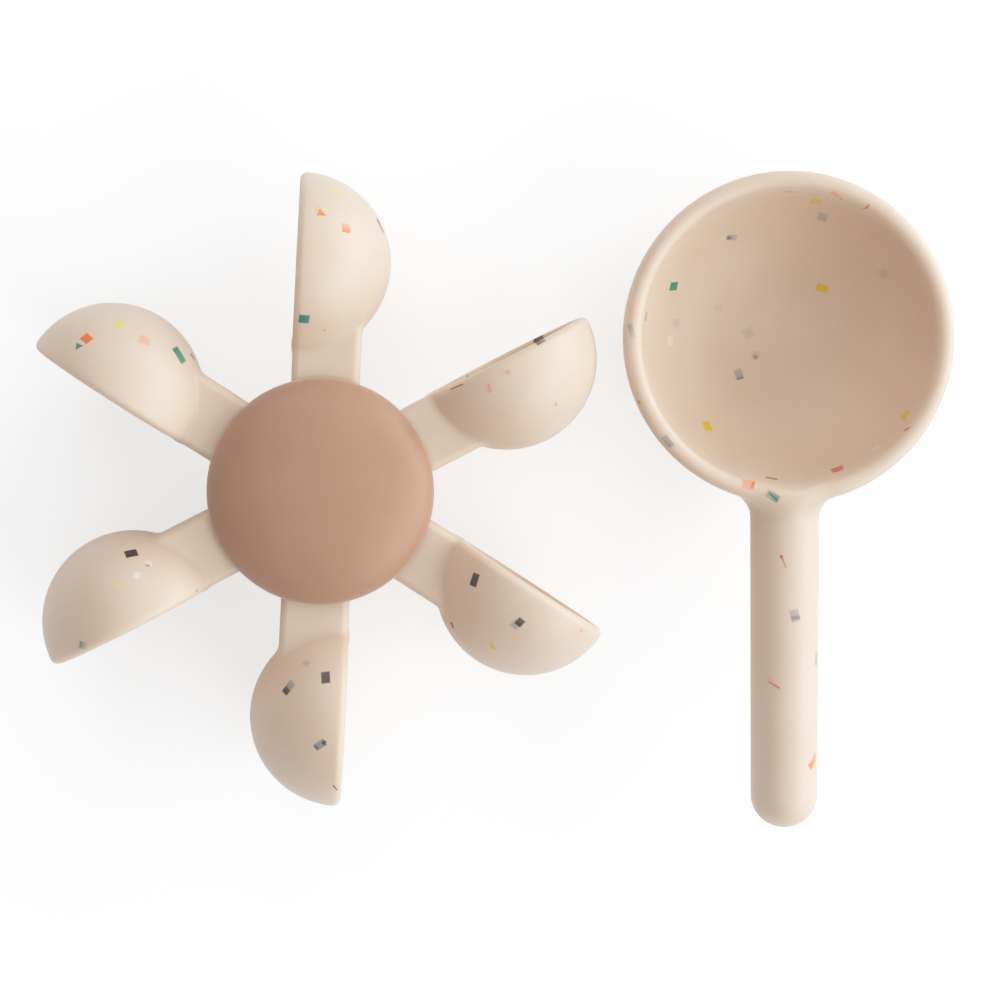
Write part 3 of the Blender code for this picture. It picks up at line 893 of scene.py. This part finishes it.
@dataclass
class PaddleSet:
    """Six spoon-shaped paddles: square arms that grow into round cups."""

    camera: PhotoCamera
    finish: Finish = SPECKLED_SILICONE
    cup_radius: float = 22.8 * MM
    cup_wall: float = 3.0 * MM
    cup_lip: float = 1.0 * MM
    rim_outer_round: float = 1.9 * MM
    rim_inner_round: float = 0.8 * MM
    arm_width: float = 17.0 * MM
    arm_thickness: float = 17.0 * MM
    arm_edge: float = 1.9 * MM
    neck_fillet: float = 1.0 * MM
    side_ramp: float = 0.25 * MM
    peg_inset: float = 4.6 * MM
    peg_hole: float = 2.6 * MM
    peg_edge: float = 0.2 * MM
    pitch: float = 0.65 * MM
    hidden_flakes: int = 34

    def __post_init__(self) -> None:
        """Take the places of the first paddle from the frame."""
        low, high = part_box("paddle_1")
        self.root = low.y
        self.reach = high.y - self.cup_radius
        self.rim_front = -low.x
        self.middle = (low.z + high.z) / 2
        self.ball = self.rim_front - self.cup_lip

    def shape(self, points: np.ndarray) -> np.ndarray:
        """Work out the shape of a paddle.

        Args:
            points: Rows of x, out along the arm, y, across it, and z, the way that the cup opens.

        Returns:
            Distances, negative inside.
        """
        x, _, z = points.T
        reach = np.hypot(points[:, 0], points[:, 1])
        ball = np.hypot(reach, z - self.ball) - self.cup_radius
        cup = common(ball, z - self.rim_front, self.rim_outer_round)
        start = self.root - self.reach
        low = (start, -self.arm_thickness / 2, -self.arm_width / 2)
        high = (0.0, self.arm_thickness / 2, self.arm_width / 2)
        along = np.clip((x - start) / (-self.cup_radius - start), 0.0, 1.0)
        ramped = points - np.outer(along * (z > 0), (0.0, 0.0, self.side_ramp))
        solid = merged(cup, rounded_block(ramped, low, high, self.arm_edge), self.neck_fillet)
        hollow = np.hypot(reach, np.minimum(z - self.ball, 0.0)) - (self.cup_radius - self.cup_wall)
        open_cup = common(solid, -hollow, self.rim_inner_round)
        peg = np.hypot(x - start - self.peg_inset, z) - self.peg_hole
        return common(open_cup, -peg, self.peg_edge)

    def place(self, index: int) -> Matrix:
        """Return the place of a paddle, the first along +Y."""
        turn = Matrix.Rotation(math.pi / 2 + index * math.pi / 3, 4, "Z")
        reach = Matrix.Translation((self.reach, 0.0, self.middle))
        return turn @ reach @ Matrix.Rotation(-math.pi / 2, 4, "X")

    def build(self) -> None:
        """Mesh one paddle and add the six, each with its own flakes."""
        margin = 2 * self.pitch
        side = self.cup_radius + margin
        low = (self.root - self.reach - margin, -side, self.ball - side)
        mesher = FieldMesher(self.pitch, low, (side, side, self.rim_front + margin))
        moulding = mesher.mesh("paddle", self.shape)
        setter = FlakeSetter(self.camera, moulding)
        for index, shown in enumerate(PADDLE_FLAKES):
            place = self.place(index)
            flakes = setter.flakes(shown, place, self.hidden_flakes, index)
            node = f"paddle_{index + 1}"
            add_piece(node, "moulding", moulding.copy(), self.finish, "wheel", place, flakes)
        bpy.data.meshes.remove(moulding)


@dataclass
class Scoop:
    """Hand scoop: a bowl with a rolled lip and a flat foot, and a round handle level with the lip."""

    camera: PhotoCamera
    finish: Finish = SPECKLED_SILICONE
    bowl_radius: float = 41.9 * MM
    lip: float = 4.5 * MM
    depth: float = 33.5 * MM
    floor: float = 3.6 * MM
    squareness: float = 2.3
    foot_radius: float = 14.0 * MM
    foot_round: float = 1.2 * MM
    handle_radius: float = 8.8 * MM
    tip_radius: float = 8.5 * MM
    handle_length: float = 82.9 * MM
    handle_drop: float = 1.0 * MM
    handle_fillet: float = 5.0 * MM
    handle_bite: float = 1.0 * MM
    handle_bite_slope: float = 0.25
    axis_gap: float = 1e-7
    yaw: float = math.radians(3.0)
    pitch: float = 0.8 * MM
    hidden_flakes: int = 56
    seed: int = 11

    def __post_init__(self) -> None:
        """Work out the heights, and take the foot's place from the frame."""
        self.lip_round = self.lip / 2
        self.top = self.floor + self.depth
        self.lip_middle = self.top - self.lip_round
        self.handle_height = self.top - self.handle_drop - self.handle_radius
        self.foot = next(m["pos_m"] for m in frame["record"]["mounts"] if m["name"] == "scoop_foot")
        share = 1 - (self.foot_radius / self.bowl_radius) ** self.squareness
        self.outer_fall = self.lip_middle / share ** (1 / self.squareness)

    def bowl(self, reach: np.ndarray, drop: np.ndarray, radius: float, fall: float) -> np.ndarray:
        """Return near-distances to a bowl that is a little squarer than a ball.

        Args:
            reach: Distances from the axis.
            drop: Depths below the lip's middle.
            radius: The bowl's radius there.
            fall: Its depth on the axis.

        Returns:
            Distances, negative inside.
        """
        power = self.squareness
        wide = np.maximum(reach, self.axis_gap) / radius
        deep = np.maximum(drop, self.axis_gap) / fall
        size = (wide**power + deep**power) ** (1 / power)
        rise = np.hypot(wide ** (power - 1) / radius, deep ** (power - 1) / fall)
        return (size - 1) / (size ** (1 - power) * rise)

    def shape(self, points: np.ndarray) -> np.ndarray:
        """Work out the shape of the scoop, its foot on the origin and its handle along -Y.

        Args:
            points: Rows of x, y and z.

        Returns:
            Distances, negative inside.
        """
        x, y, z = points.T
        reach = np.hypot(x, y)
        drop = self.lip_middle - z
        inside = self.bowl_radius - self.lip
        outer = self.bowl(reach, drop, self.bowl_radius, self.outer_fall)
        inner = self.bowl(reach, drop, inside, self.depth - self.lip_round)
        wall = np.maximum(common(outer, -z, self.foot_round), -inner)
        roll = np.hypot(reach - self.bowl_radius + self.lip_round, drop) - self.lip_round
        shell = np.where(drop >= 0, wall, roll)
        length = self.bowl_radius + self.handle_length - self.tip_radius
        spine = np.clip(-y, 0.0, length)
        radius = np.interp(spine, [self.bowl_radius, length], [self.handle_radius, self.tip_radius])
        handle = np.sqrt(x**2 + (y + spine) ** 2 + (z - self.handle_height) ** 2) - radius
        bite = self.bowl_radius - self.handle_bite - np.maximum(drop, 0.0) * self.handle_bite_slope
        return merged(shell, np.maximum(handle, bite - reach), self.handle_fillet)

    def build(self) -> None:
        """Mesh the scoop and add it with its flakes."""
        margin = 2 * self.pitch
        side = self.bowl_radius + margin
        low = (-side, -self.bowl_radius - self.handle_length - margin, -margin)
        mesher = FieldMesher(self.pitch, low, (side, side, self.top + margin))
        moulding = mesher.mesh("scoop_moulding", self.shape)
        place = Matrix.Translation(self.foot) @ Matrix.Rotation(self.yaw, 4, "Z")
        setter = FlakeSetter(self.camera, moulding)
        flakes = setter.flakes(SCOOP_FLAKES, place, self.hidden_flakes, self.seed)
        add_piece("scoop", "moulding", moulding, self.finish, "scoop", place, flakes)


@dataclass
class Hub:
    """The hub: a shell with a notch for each arm, and the domed cap; its plate keeps its own solid."""

    cap_finish: Finish = TAN_SILICONE
    shell_finish: Finish = CREAM_PLASTIC
    cap_wall: float = 2.8 * MM
    cap_hem: float = 0.5 * MM
    cap_crown: float = 5.8 * MM
    cap_corner: float = 2.2 * MM
    cap_sides: int = 160
    dome_steps: int = 40
    shell_floor: float = 1.8 * MM
    shell_wall: float = 2.2 * MM
    shell_edge: float = 0.4 * MM
    tube_bore: float = 6.3 * MM
    tube_radius: float = 8.9 * MM
    notch_half: float = 8.8 * MM
    peg_radius: float = 2.3 * MM
    peg_inset: float = 4.6 * MM
    pitch: float = 0.5 * MM

    def __post_init__(self) -> None:
        """Take the cap's and the shell's places from the frame."""
        low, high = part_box("hub_cap")
        self.cap_radius = high.x
        self.cap_low, self.cap_top = low.z, high.z
        low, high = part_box("hub_shell")
        self.shell_radius = max(high.x, high.y)
        self.shell_low, self.shell_top = low.z, high.z
        self.arm_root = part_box("paddle_1")[0].y

    def cap_profile(self) -> list[Point2]:
        """Return the cap's section: a dome like one side of a lens, a round hem and a hollow."""
        hem = self.cap_hem
        spring = self.cap_low + hem
        rise = self.cap_top - spring
        inside = self.cap_radius - self.cap_wall
        ceiling = self.cap_top - self.cap_crown
        corner = self.cap_corner
        dome = arc((0.0, 0.0), 1.0, 90, 0, self.dome_steps)
        return [
            *((self.cap_radius * across, spring + rise * up) for across, up in dome),
            *arc((self.cap_radius - hem, spring), hem, 0, -90, 5)[1:],
            *arc((inside + hem, spring), hem, -90, -180, 5),
            *arc((inside - corner, ceiling - corner), corner, 0, 90, 8),
            (0.0, ceiling),
        ]

    def shell_shape(self, points: np.ndarray) -> np.ndarray:
        """Work out the shape of the shell.

        Args:
            points: Rows of x, y and z.

        Returns:
            Distances, negative inside.
        """
        z = points[:, 2]
        reach = np.hypot(points[:, 0], points[:, 1])
        edge = self.shell_edge
        height = np.maximum(self.shell_low - z, z - self.shell_top)
        drum = common(reach - self.shell_radius, height, edge)
        floor_top = self.shell_low + self.shell_floor
        trough = np.maximum(self.tube_radius - reach, reach - self.shell_radius + self.shell_wall)
        shell = common(drum, -common(trough, floor_top - z, edge), edge)
        angle = np.arctan2(points[:, 1], points[:, 0]) - math.pi / 2
        sector = math.pi / 3
        angle -= sector * np.round(angle / sector)
        along, across = reach * np.cos(angle), reach * np.sin(angle)
        notch = np.maximum(np.abs(across) - self.notch_half, self.arm_root - along)
        shell = common(shell, -np.maximum(notch, floor_top - z), edge)
        peg = np.hypot(along - self.arm_root - self.peg_inset, across) - self.peg_radius
        peg_ends = np.maximum(self.shell_low + edge - z, z - self.shell_top)
        shell = merged(shell, common(peg, peg_ends, edge), edge)
        return common(shell, self.tube_bore - reach, edge)

    def build(self) -> None:
        """Add the shell and the cap."""
        cap = lathe("hub_cap_dome", self.cap_profile(), self.cap_sides)
        add_piece("hub_cap", "dome", cap, self.cap_finish, "wheel", Matrix())
        margin = 2 * self.pitch
        side = self.shell_radius + margin
        low = (-side, -side, self.shell_low - margin)
        mesher = FieldMesher(self.pitch, low, (side, side, self.shell_top + margin), rounds=2)
        shell = mesher.mesh("hub_shell_moulding", self.shell_shape)
        add_piece("hub_shell", "moulding", shell, self.shell_finish, "wheel", Matrix())


@dataclass
class SuctionMount:
    """The suction cup and the base that snaps onto its stud and carries the post."""

    cup_finish: Finish = TAN_SILICONE
    base_finish: Finish = CREAM_PLASTIC
    ring: float = 2.8 * MM
    hollow: float = 4.2 * MM
    lip: float = 1.3 * MM
    shoulder: float = 8.5 * MM
    shoulder_drop: float = 0.84 * MM
    waist: float = 11.5 * MM
    waist_height: float = 2.6 * MM
    cup_height: float = 9.0 * MM
    edge: float = 0.6 * MM
    stud_radius: float = 5.0 * MM
    stud_head: float = 6.4 * MM
    stud_length: float = 1.8 * MM
    post_radius: float = 4.0 * MM
    base_edge: float = 1.0 * MM
    base_floor: float = 2.0 * MM
    seat_gap: float = 0.3 * MM
    screw_hole: float = 1.7 * MM
    screw_depth: float = 11.0 * MM
    dish_steps: int = 16
    flare_steps: int = 24

    def __post_init__(self) -> None:
        """Take the cup's and the base's places from the frame."""
        low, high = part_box("suction_cup")
        self.cup_radius = high.x
        self.stud_top = high.z
        low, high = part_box("mount_base")
        self.base_radius = high.x
        self.base_low, self.post_top = low.z, high.z
        self.base_top = self.stud_top + self.seat_gap + self.base_floor

    def cup_profile(self) -> list[Point2]:
        """Return the suction cup's section, from the stud's top round to the hollow's middle."""
        edge = self.edge
        inside = self.cup_radius - edge - self.ring
        shares = [1 - i / self.dish_steps for i in range(self.dish_steps + 1)]
        dish = [(inside * share, self.hollow * (1 - share**2)) for share in shares]
        head_low = self.cup_height + self.stud_length
        return [
            (0.0, self.stud_top),
            *arc((self.stud_head - edge, self.stud_top - edge), edge, 90, 0, 5),
            (self.stud_head, head_low),
            (self.stud_radius, head_low),
            (self.stud_radius, self.cup_height),
            *arc((self.shoulder - edge, self.cup_height - edge), edge, 90, 20, 5),
            *curve(
                (self.shoulder, self.cup_height - self.shoulder_drop),
                (self.waist, self.waist_height),
                (self.cup_radius - edge / 2, self.lip),
                self.flare_steps,
            ),
            *arc((self.cup_radius - edge, self.lip - edge), edge, 60, 0, 4),
            *arc((self.cup_radius - edge, edge), edge, 0, -90, 5),
            *dish,
        ]

    def base_profile(self) -> list[Point2]:
        """Return the base's section, from the post's screw hole round to the stud's pocket."""
        edge = self.base_edge
        gap = self.seat_gap
        screw_end = self.post_top - self.screw_depth
        head_low = self.cup_height + self.stud_length - gap
        return [
            (0.0, screw_end),
            (self.screw_hole, screw_end),
            (self.screw_hole, self.post_top),
            *arc((self.post_radius - edge / 2, self.post_top - edge / 2), edge / 2, 90, 0, 4),
            *arc((self.post_radius + edge / 2, self.base_top + edge / 2), edge / 2, 180, 270, 4),
            *arc((self.base_radius - edge, self.base_top - edge), edge, 90, 0, 6),
            *arc((self.base_radius - edge, self.base_low + edge), edge, 0, -90, 6),
            (self.stud_radius + gap, self.base_low),
            (self.stud_radius + gap, head_low),
            (self.stud_head + gap, head_low),
            (self.stud_head + gap, self.stud_top + gap),
            (0.0, self.stud_top + gap),
        ]

    def build(self) -> None:
        """Add the suction cup and the base."""
        cup = lathe("suction_cup_dish", self.cup_profile())
        add_piece("suction_cup", "dish", cup, self.cup_finish, "base", Matrix())
        base = lathe("mount_base_disc", self.base_profile())
        add_piece("mount_base", "disc", base, self.base_finish, "base", Matrix())


@dataclass
class InnerParts:
    """The bearings, washers and screws inside the hub, which keep their own solids."""

    bearing: Finish = WHITE_PLASTIC
    plate: Finish = CREAM_PLASTIC
    steel: Steel = Steel()

    def dress(self) -> None:
        """Give each solid its finish."""
        finishes = {
            "bearing_plastic": (self.bearing, ("thrust_washer", "rear_bush", "front_bush")),
            "cream_plastic_plate": (self.plate, ("hub_plate",)),
            "bright_steel": (
                self.steel,
                ("axle_washer", "axle_screw", "plate_screw_1", "plate_screw_2", "plate_screw_3"),
            ),
        }
        for name, (finish, nodes) in finishes.items():
            material = finish.material(name)
            for node in nodes:
                solid = frame["nodes"][node]
                if not solid.material_slots:
                    solid.data.materials.append(material)
                for held in solid.material_slots:
                    held.material = material
                LOG.info("%s: %s", node, name)


@dataclass(frozen=True)
class SoftBox:
    """A large soft light that faces the wheel."""

    name: str
    power: float
    width: float
    height: float
    distance: float
    elevation: float
    bearing: float

    def build(self, aim: Vector) -> None:
        """Add the light, turned to its aim.

        Args:
            aim: The point that it faces, from which its distance and its angles in degrees count.
        """
        data = bpy.data.lights.new(self.name, "AREA")
        data.shape = "RECTANGLE"
        data.energy = self.power
        data.size = self.width
        data.size_y = self.height
        rise, turn = math.radians(self.elevation), math.radians(self.bearing)
        level = math.cos(rise)
        back = Vector((level * math.cos(turn), level * math.sin(turn), math.sin(rise)))
        lamp = bpy.data.objects.new(self.name, data)
        lamp.location = aim + back * self.distance
        lamp.rotation_euler = back.to_track_quat("Z", "Y").to_euler()
        bpy.context.scene.collection.objects.link(lamp)


@dataclass
class Studio:
    """A white table, soft boxes at the right, behind and overhead, and an even white surround."""

    boxes: tuple[SoftBox, ...] = (
        SoftBox("low_right_box", 79.0, 3.0, 2.0, 3.0, 13.0, 25.0),
        SoftBox("front_right_box", 56.0, 3.0, 2.0, 3.0, 30.0, -30.0),
        SoftBox("back_box", 25.0, 3.0, 2.0, 3.0, 35.0, 100.0),
        SoftBox("top_box", 8.5, 2.0, 2.0, 2.0, 90.0, 0.0),
    )
    table_side: float = 8.0
    table_colour: Colour = (0.93, 0.95, 0.97)
    table_roughness: float = 0.9
    table_specular: float = 0.1
    table_glow: float = 0.52
    surround: float = 0.38
    aim: Vector = field(default_factory=lambda: Vector((0.05, 0.0, 0.02)))
    white_level: float = 1.45
    response: tuple[Point2, ...] = (
        (0.25, 0.25),
        (0.50, 0.50),
        (0.72, 0.68),
        (0.92, 0.80),
        (1.08, 0.875),
        (1.25, 0.94),
    )

    def build(self) -> None:
        """Add the table, the lights and the surround, and set the picture's response."""
        self.add_table()
        for box in self.boxes:
            box.build(self.aim)
        world = bpy.data.worlds.new("white_surround")
        world.use_nodes = True
        surround = world.node_tree.nodes["Background"]
        surround.inputs["Color"].default_value = (1.0, 1.0, 1.0, 1.0)
        surround.inputs["Strength"].default_value = self.surround
        bpy.context.scene.world = world
        self.set_response(bpy.context.scene.view_settings)

    def add_table(self) -> None:
        """Add the white table top, which glows to the eye but casts no light on the pieces."""
        half = self.table_side / 2
        mesh = bpy.data.meshes.new("white_table")
        edge = [(-half, -half, 0), (half, -half, 0), (half, half, 0), (-half, half, 0)]
        mesh.from_pydata(edge, [], [(0, 1, 2, 3)])
        table = bpy.data.objects.new("white_table", mesh)
        bpy.context.scene.collection.objects.link(table)
        shader = Shader("white_table_top")
        seen = shader.node("ShaderNodeLightPath", {}, {}).outputs["Is Camera Ray"]
        shader.finish(
            Base_Color=(*self.table_colour, 1.0),
            Roughness=self.table_roughness,
            Specular_IOR_Level=self.table_specular,
            Emission_Color=seen,
            Emission_Strength=self.table_glow,
        )
        mesh.materials.append(shader.material)

    def set_response(self, view: bpy.types.ColorManagedViewSettings) -> None:
        """Give the picture a camera's response, which rolls off towards white.

        Args:
            view: The scene's view settings.
        """
        view.view_transform = "Standard"
        view.use_curve_mapping = True
        mapping = view.curve_mapping
        mapping.white_level = (self.white_level,) * 3
        combined = mapping.curves[3]
        for bright, shown in self.response:
            combined.points.new(bright / self.white_level, shown)
        mapping.update()


TRIANGLE = FlakeShape.TRIANGLE
PADDLE_FLAKES = (
    PhotoFlakes((335, 265), (
        Spot(337.6, 191.8, 10, 6, -12, Tint.LEMON, 0.45, 0.45, 0.35),
        Spot(318.5, 210.0, 8, 6, -45, Tint.PINK, 0.35, 0.35, 0.35),
        Spot(322.1, 213.8, 9, 8, -25, Tint.ORANGE, 0.7, 1.0, shape=TRIANGLE),
        Spot(346.0, 228.0, 9, 8.5, 93, Tint.ORANGE, 1.0, 0.45),
        Spot(304.1, 319.2, 10.5, 8, -4, Tint.TEAL, 1.0, 0.9),
        Spot(323.0, 329.5, 8, 6, 0, Tint.PINK, 0.18, 0.18, 0.4),
        Spot(324.7, 330.1, 3.4, 2.0, 0, Tint.ROSE, 0.6, 0.6),
        Spot(380.3, 225.7, 15, 2.2, -65, Tint.UMBER, 0.9, 0.7),
    )),
    PhotoFlakes((120, 352), (
        Spot(86.5, 338.5, 9.2, 8.6, 38, Tint.ORANGE),
        Spot(79.5, 346.0, 7, 7.5, 5, Tint.TEAL, 0.95, 0.85, shape=TRIANGLE),
        Spot(119.5, 324.7, 8.8, 5.2, 12, Tint.LEMON),
        Spot(144.7, 340.2, 11, 7.5, -22, Tint.PINK, 0.85, 0.65, 0.35),
        Spot(179.5, 354.9, 17.7, 5.8, -58, Tint.TEAL, 1.0, 0.85),
        Spot(192.8, 357.0, 7.5, 2.2, -60, Tint.UMBER, 0.8, 0.6),
    )),
    PhotoFlakes((125, 600), (
        Spot(136.9, 575.1, 7, 6, 60, Tint.CHALK, 0.7, 0.5, 0.4),
        Spot(149.0, 563.5, 6, 5, 0, Tint.CHALK, 0.5, 0.5, 0.4),
        Spot(131.2, 553.3, 12.4, 7.0, 12, Tint.UMBER),
        Spot(147.5, 565.5, 4.2, 2.4, -10, Tint.SLATE, 0.9, 0.9),
        Spot(115.7, 585.7, 8, 6, 170, Tint.LEMON, 0.5, 0.6, 0.25, TRIANGLE),
        Spot(83.0, 645.5, 8, 7, -20, Tint.TEAL, 0.75, 0.1, 0.2),
        Spot(196.6, 590.6, 3, 2.4, 40, Tint.SLATE, 0.8, 0.8),
    )),
    PhotoFlakes((312, 715), (
        Spot(306.4, 663.1, 6.5, 6, 40, Tint.TEAL, 0.3, 0.25, 0.4),
        Spot(325.6, 677.4, 11.4, 8.6, 93, Tint.UMBER, 0.95, 0.9),
        Spot(288.8, 687.2, 13, 6.8, 52, Tint.SLATE, 1.0, 0.7, 0.2),
        Spot(286.2, 690.6, 6.5, 6.4, 52, Tint.UMBER, 1.0, 0.6),
        Spot(320.0, 744.9, 12, 7.4, 32, Tint.SLATE, 0.95, 0.95, 0.15),
        Spot(324.0, 742.5, 4.2, 3.6, 60, Tint.UMBER, 0.9, 0.8, 0.25),
        Spot(316.2, 747.4, 4.6, 1.8, -38, Tint.UMBER, 0.8, 0.6, 0.25),
        Spot(335.4, 788.1, 7, 1.7, -55, Tint.UMBER, 0.8, 0.7),
    )),
    PhotoFlakes((500, 615), (
        Spot(474.5, 579.9, 13.2, 6.8, 72, Tint.UMBER, 0.95, 0.9),
        Spot(515.6, 624.6, 9, 8, 45, Tint.SLATE, 0.6, 0.6, 0.3),
        Spot(519.8, 622.3, 8.2, 7.4, 48, Tint.UMBER, 0.95, 0.8, 0.15),
        Spot(492.3, 645.0, 10, 6.5, 105, Tint.YELLOW, 0.85, 0.7, 0.2, TRIANGLE),
        Spot(582.0, 629.0, 10, 8, 0, Tint.PINK, 0.2, 0.2, 0.4),
        Spot(581.3, 630.7, 4, 3.4, 30, Tint.ROSE, 0.4, 0.4, 0.3),
        Spot(452.2, 625.2, 6.5, 1.9, -65, Tint.UMBER, 0.9, 0.7, 0.3),
    )),
    PhotoFlakes((520, 390), (
        Spot(538.6, 339.6, 11, 6.4, 28, Tint.UMBER, 0.9, 0.75),
        Spot(539.7, 341.4, 9.5, 4.5, 28, Tint.UMBER, 0.9, 0.6, 0.2),
        Spot(505.5, 372.3, 12, 6, 0, Tint.PINK, 0.25, 0.35, 0.4),
        Spot(507.7, 372.2, 4.4, 3.4, 20, Tint.ROSE, 0.5, 0.5, 0.3),
        Spot(488.5, 388.0, 8, 9, 0, Tint.PINK, 0.25, 0.4, 0.4),
        Spot(489.1, 388.1, 9, 1.9, -80, Tint.ROSE, 0.5, 0.55),
        Spot(555.8, 402.8, 6, 4, 95, Tint.SLATE, 0.9, 0.3, 0.25, TRIANGLE),
        Spot(456.6, 386.8, 13, 1.2, 24, Tint.UMBER, 0.85, 0.85),
        Spot(576.6, 322.3, 3, 2, 25, Tint.SLATE, 0.8, 0.8),
    )),
)
SCOOP_FLAKES = PhotoFlakes((789, 400), (
    Spot(676.0, 323.0, 7, 8, 0, Tint.SLATE, 0.3, 0.3, 0.5),
    Spot(718.0, 307.5, 8, 6, 0, Tint.SLATE, 0.2, 0.2, 0.5),
    Spot(748.0, 333.0, 10, 9, 30, Tint.SLATE, 0.28, 0.28, 0.5),
    Spot(883.9, 273.6, 8, 8, 15, Tint.SLATE, 0.3, 0.3, 0.5),
    Spot(669.9, 340.9, 5, 9, 0, Tint.CHALK, 0.5, 0.5, 0.5),
    Spot(875.9, 448.2, 8, 3, 35, Tint.CHALK, 0.5, 0.5, 0.5),
    Spot(643.6, 330.0, 14, 2.0, 82, Tint.TEAL, 0.3, 0.2, 0.4),
    Spot(631.6, 312.0, 14, 6, 75, Tint.PINK, 0.2, 0.2, 0.4),
    Spot(888.5, 209.4, 8, 9, 30, Tint.PINK, 0.18, 0.18, 0.4),
    Spot(702.7, 453.4, 9, 5, -25, Tint.LEMON, 0.4, 0.4, 0.4),
    Spot(673.6, 286.3, 8.6, 7.4, 78, Tint.GREEN),
    Spot(732.0, 237.5, 10, 5.6, 0, Tint.SLATE, 0.95, 0.4, 0.25),
    Spot(728.6, 237.8, 4.5, 2.8, -10, Tint.UMBER, 0.35, 0.6, 0.3),
    Spot(791.5, 191.8, 15, 1.6, 0, Tint.UMBER, 0.35, 0.35, 0.3),
    Spot(645.9, 316.5, 9, 2.2, 80, Tint.UMBER, 0.6, 0.45, 0.3),
    Spot(631.4, 331.0, 14, 5, -72, Tint.TEAL, 0.55, 0.15, 0.35),
    Spot(644.5, 344.3, 13, 1.3, 90, Tint.ORANGE, 0.4, 0.4, 0.3),
    Spot(638.9, 402.3, 4, 1.8, -60, Tint.RUST, 0.7, 0.6, 0.3),
    Spot(815.6, 201.3, 11, 5.6, -10, Tint.YELLOW, 0.65, 0.6, 0.25),
    Spot(822.5, 216.8, 9.6, 8, -15, Tint.SLATE, 0.55, 0.55, 0.3),
    Spot(822.2, 288.3, 12, 7.6, -15, Tint.YELLOW),
    Spot(837.0, 196.0, 11.5, 4, -36, Tint.PINK, 1.0, 0.9),
    Spot(841.0, 199.0, 4.5, 2.2, 60, Tint.ROSE, 0.9, 0.9),
    Spot(864.4, 208.8, 9, 1.9, 25, Tint.RUST, 0.85, 0.7),
    Spot(738.8, 374.2, 10.5, 7.6, -73, Tint.SLATE, 0.5, 0.9, 0.2),
    Spot(740.2, 378.2, 6.5, 1.8, 14, Tint.UMBER, 0.45, 0.45, 0.3),
    Spot(756.0, 354.0, 6, 8, 90, Tint.SLATE, 0.5, 0.2, 0.4),
    Spot(755.5, 357.4, 4, 4.4, 90, Tint.UMBER, 0.45, 0.4, 0.3),
    Spot(707.2, 426.2, 10, 7, 112, Tint.YELLOW),
    Spot(667.6, 441.3, 13, 6.4, -52, Tint.SLATE, 0.6, 0.8, 0.2),
    Spot(748.6, 482.1, 12.5, 8.4, -15, Tint.PINK, 0.9, 0.95),
    Spot(753.4, 483.6, 8.4, 2.6, 68, Tint.ORANGE, 0.9, 0.8),
    Spot(772.5, 496.2, 13.5, 7.4, -32, Tint.TEAL, 0.4, 0.75, 0.25),
    Spot(773.4, 496.6, 12, 1.8, -42, Tint.TEAL, 0.9, 1.0, 0.2),
    Spot(771.5, 478.3, 12, 1.8, -13, Tint.UMBER, 0.75, 0.85),
    Spot(905.7, 415.5, 11.5, 5.4, 56, Tint.YELLOW, 0.9, 0.75, 0.2),
    Spot(907.4, 428.7, 8.4, 3.2, 26, Tint.RUST, 0.8, 1.0, 0.15, TRIANGLE),
    Spot(837.4, 469.5, 12.5, 4.4, 20, Tint.RUST, 0.9, 0.8, 0.15),
    Spot(783.6, 562.0, 12.5, 2.2, -68, Tint.ROSE, 1.0, 0.6),
    Spot(781.4, 556.6, 3.0, 3.0, 0, Tint.RUST, 0.9, 0.9, 0.3),
    Spot(794.9, 615.4, 12, 9, -75, Tint.SLATE, 0.6, 0.85, 0.15),
    Spot(795.6, 617.6, 9, 3.4, 6, Tint.UMBER, 0.35, 0.35, 0.3),
    Spot(816.4, 658.4, 13, 2.4, 88, Tint.TEAL, 0.6, 0.4, 0.3),
    Spot(769.3, 679.0, 5, 4, 40, Tint.PINK, 0.4, 0.4, 0.4),
    Spot(773.9, 685.0, 13, 2.0, -30, Tint.RUST, 0.5, 0.65),
    Spot(813.2, 761.0, 15, 4.6, 68, Tint.ORANGE, 0.95, 0.6),
    Spot(815.6, 764.5, 5, 2.6, 75, Tint.LEMON, 0.9, 0.9, 0.3),
))


def corners(box: tuple[Vector, Vector]) -> list[list[float]]:
    """Return a box's two corners as plain lists."""
    return [list(corner) for corner in box]


def main() -> None:
    """Build and dress every sub-assembly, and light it."""
    logging.basicConfig(level=logging.INFO, format="%(name)s: %(message)s")
    camera = PhotoCamera()
    PaddleSet(camera).build()
    Scoop(camera).build()
    Hub().build()
    SuctionMount().build()
    InnerParts().dress()
    Studio().build()
    camera.build()


if __name__ == "__main__":
    main()
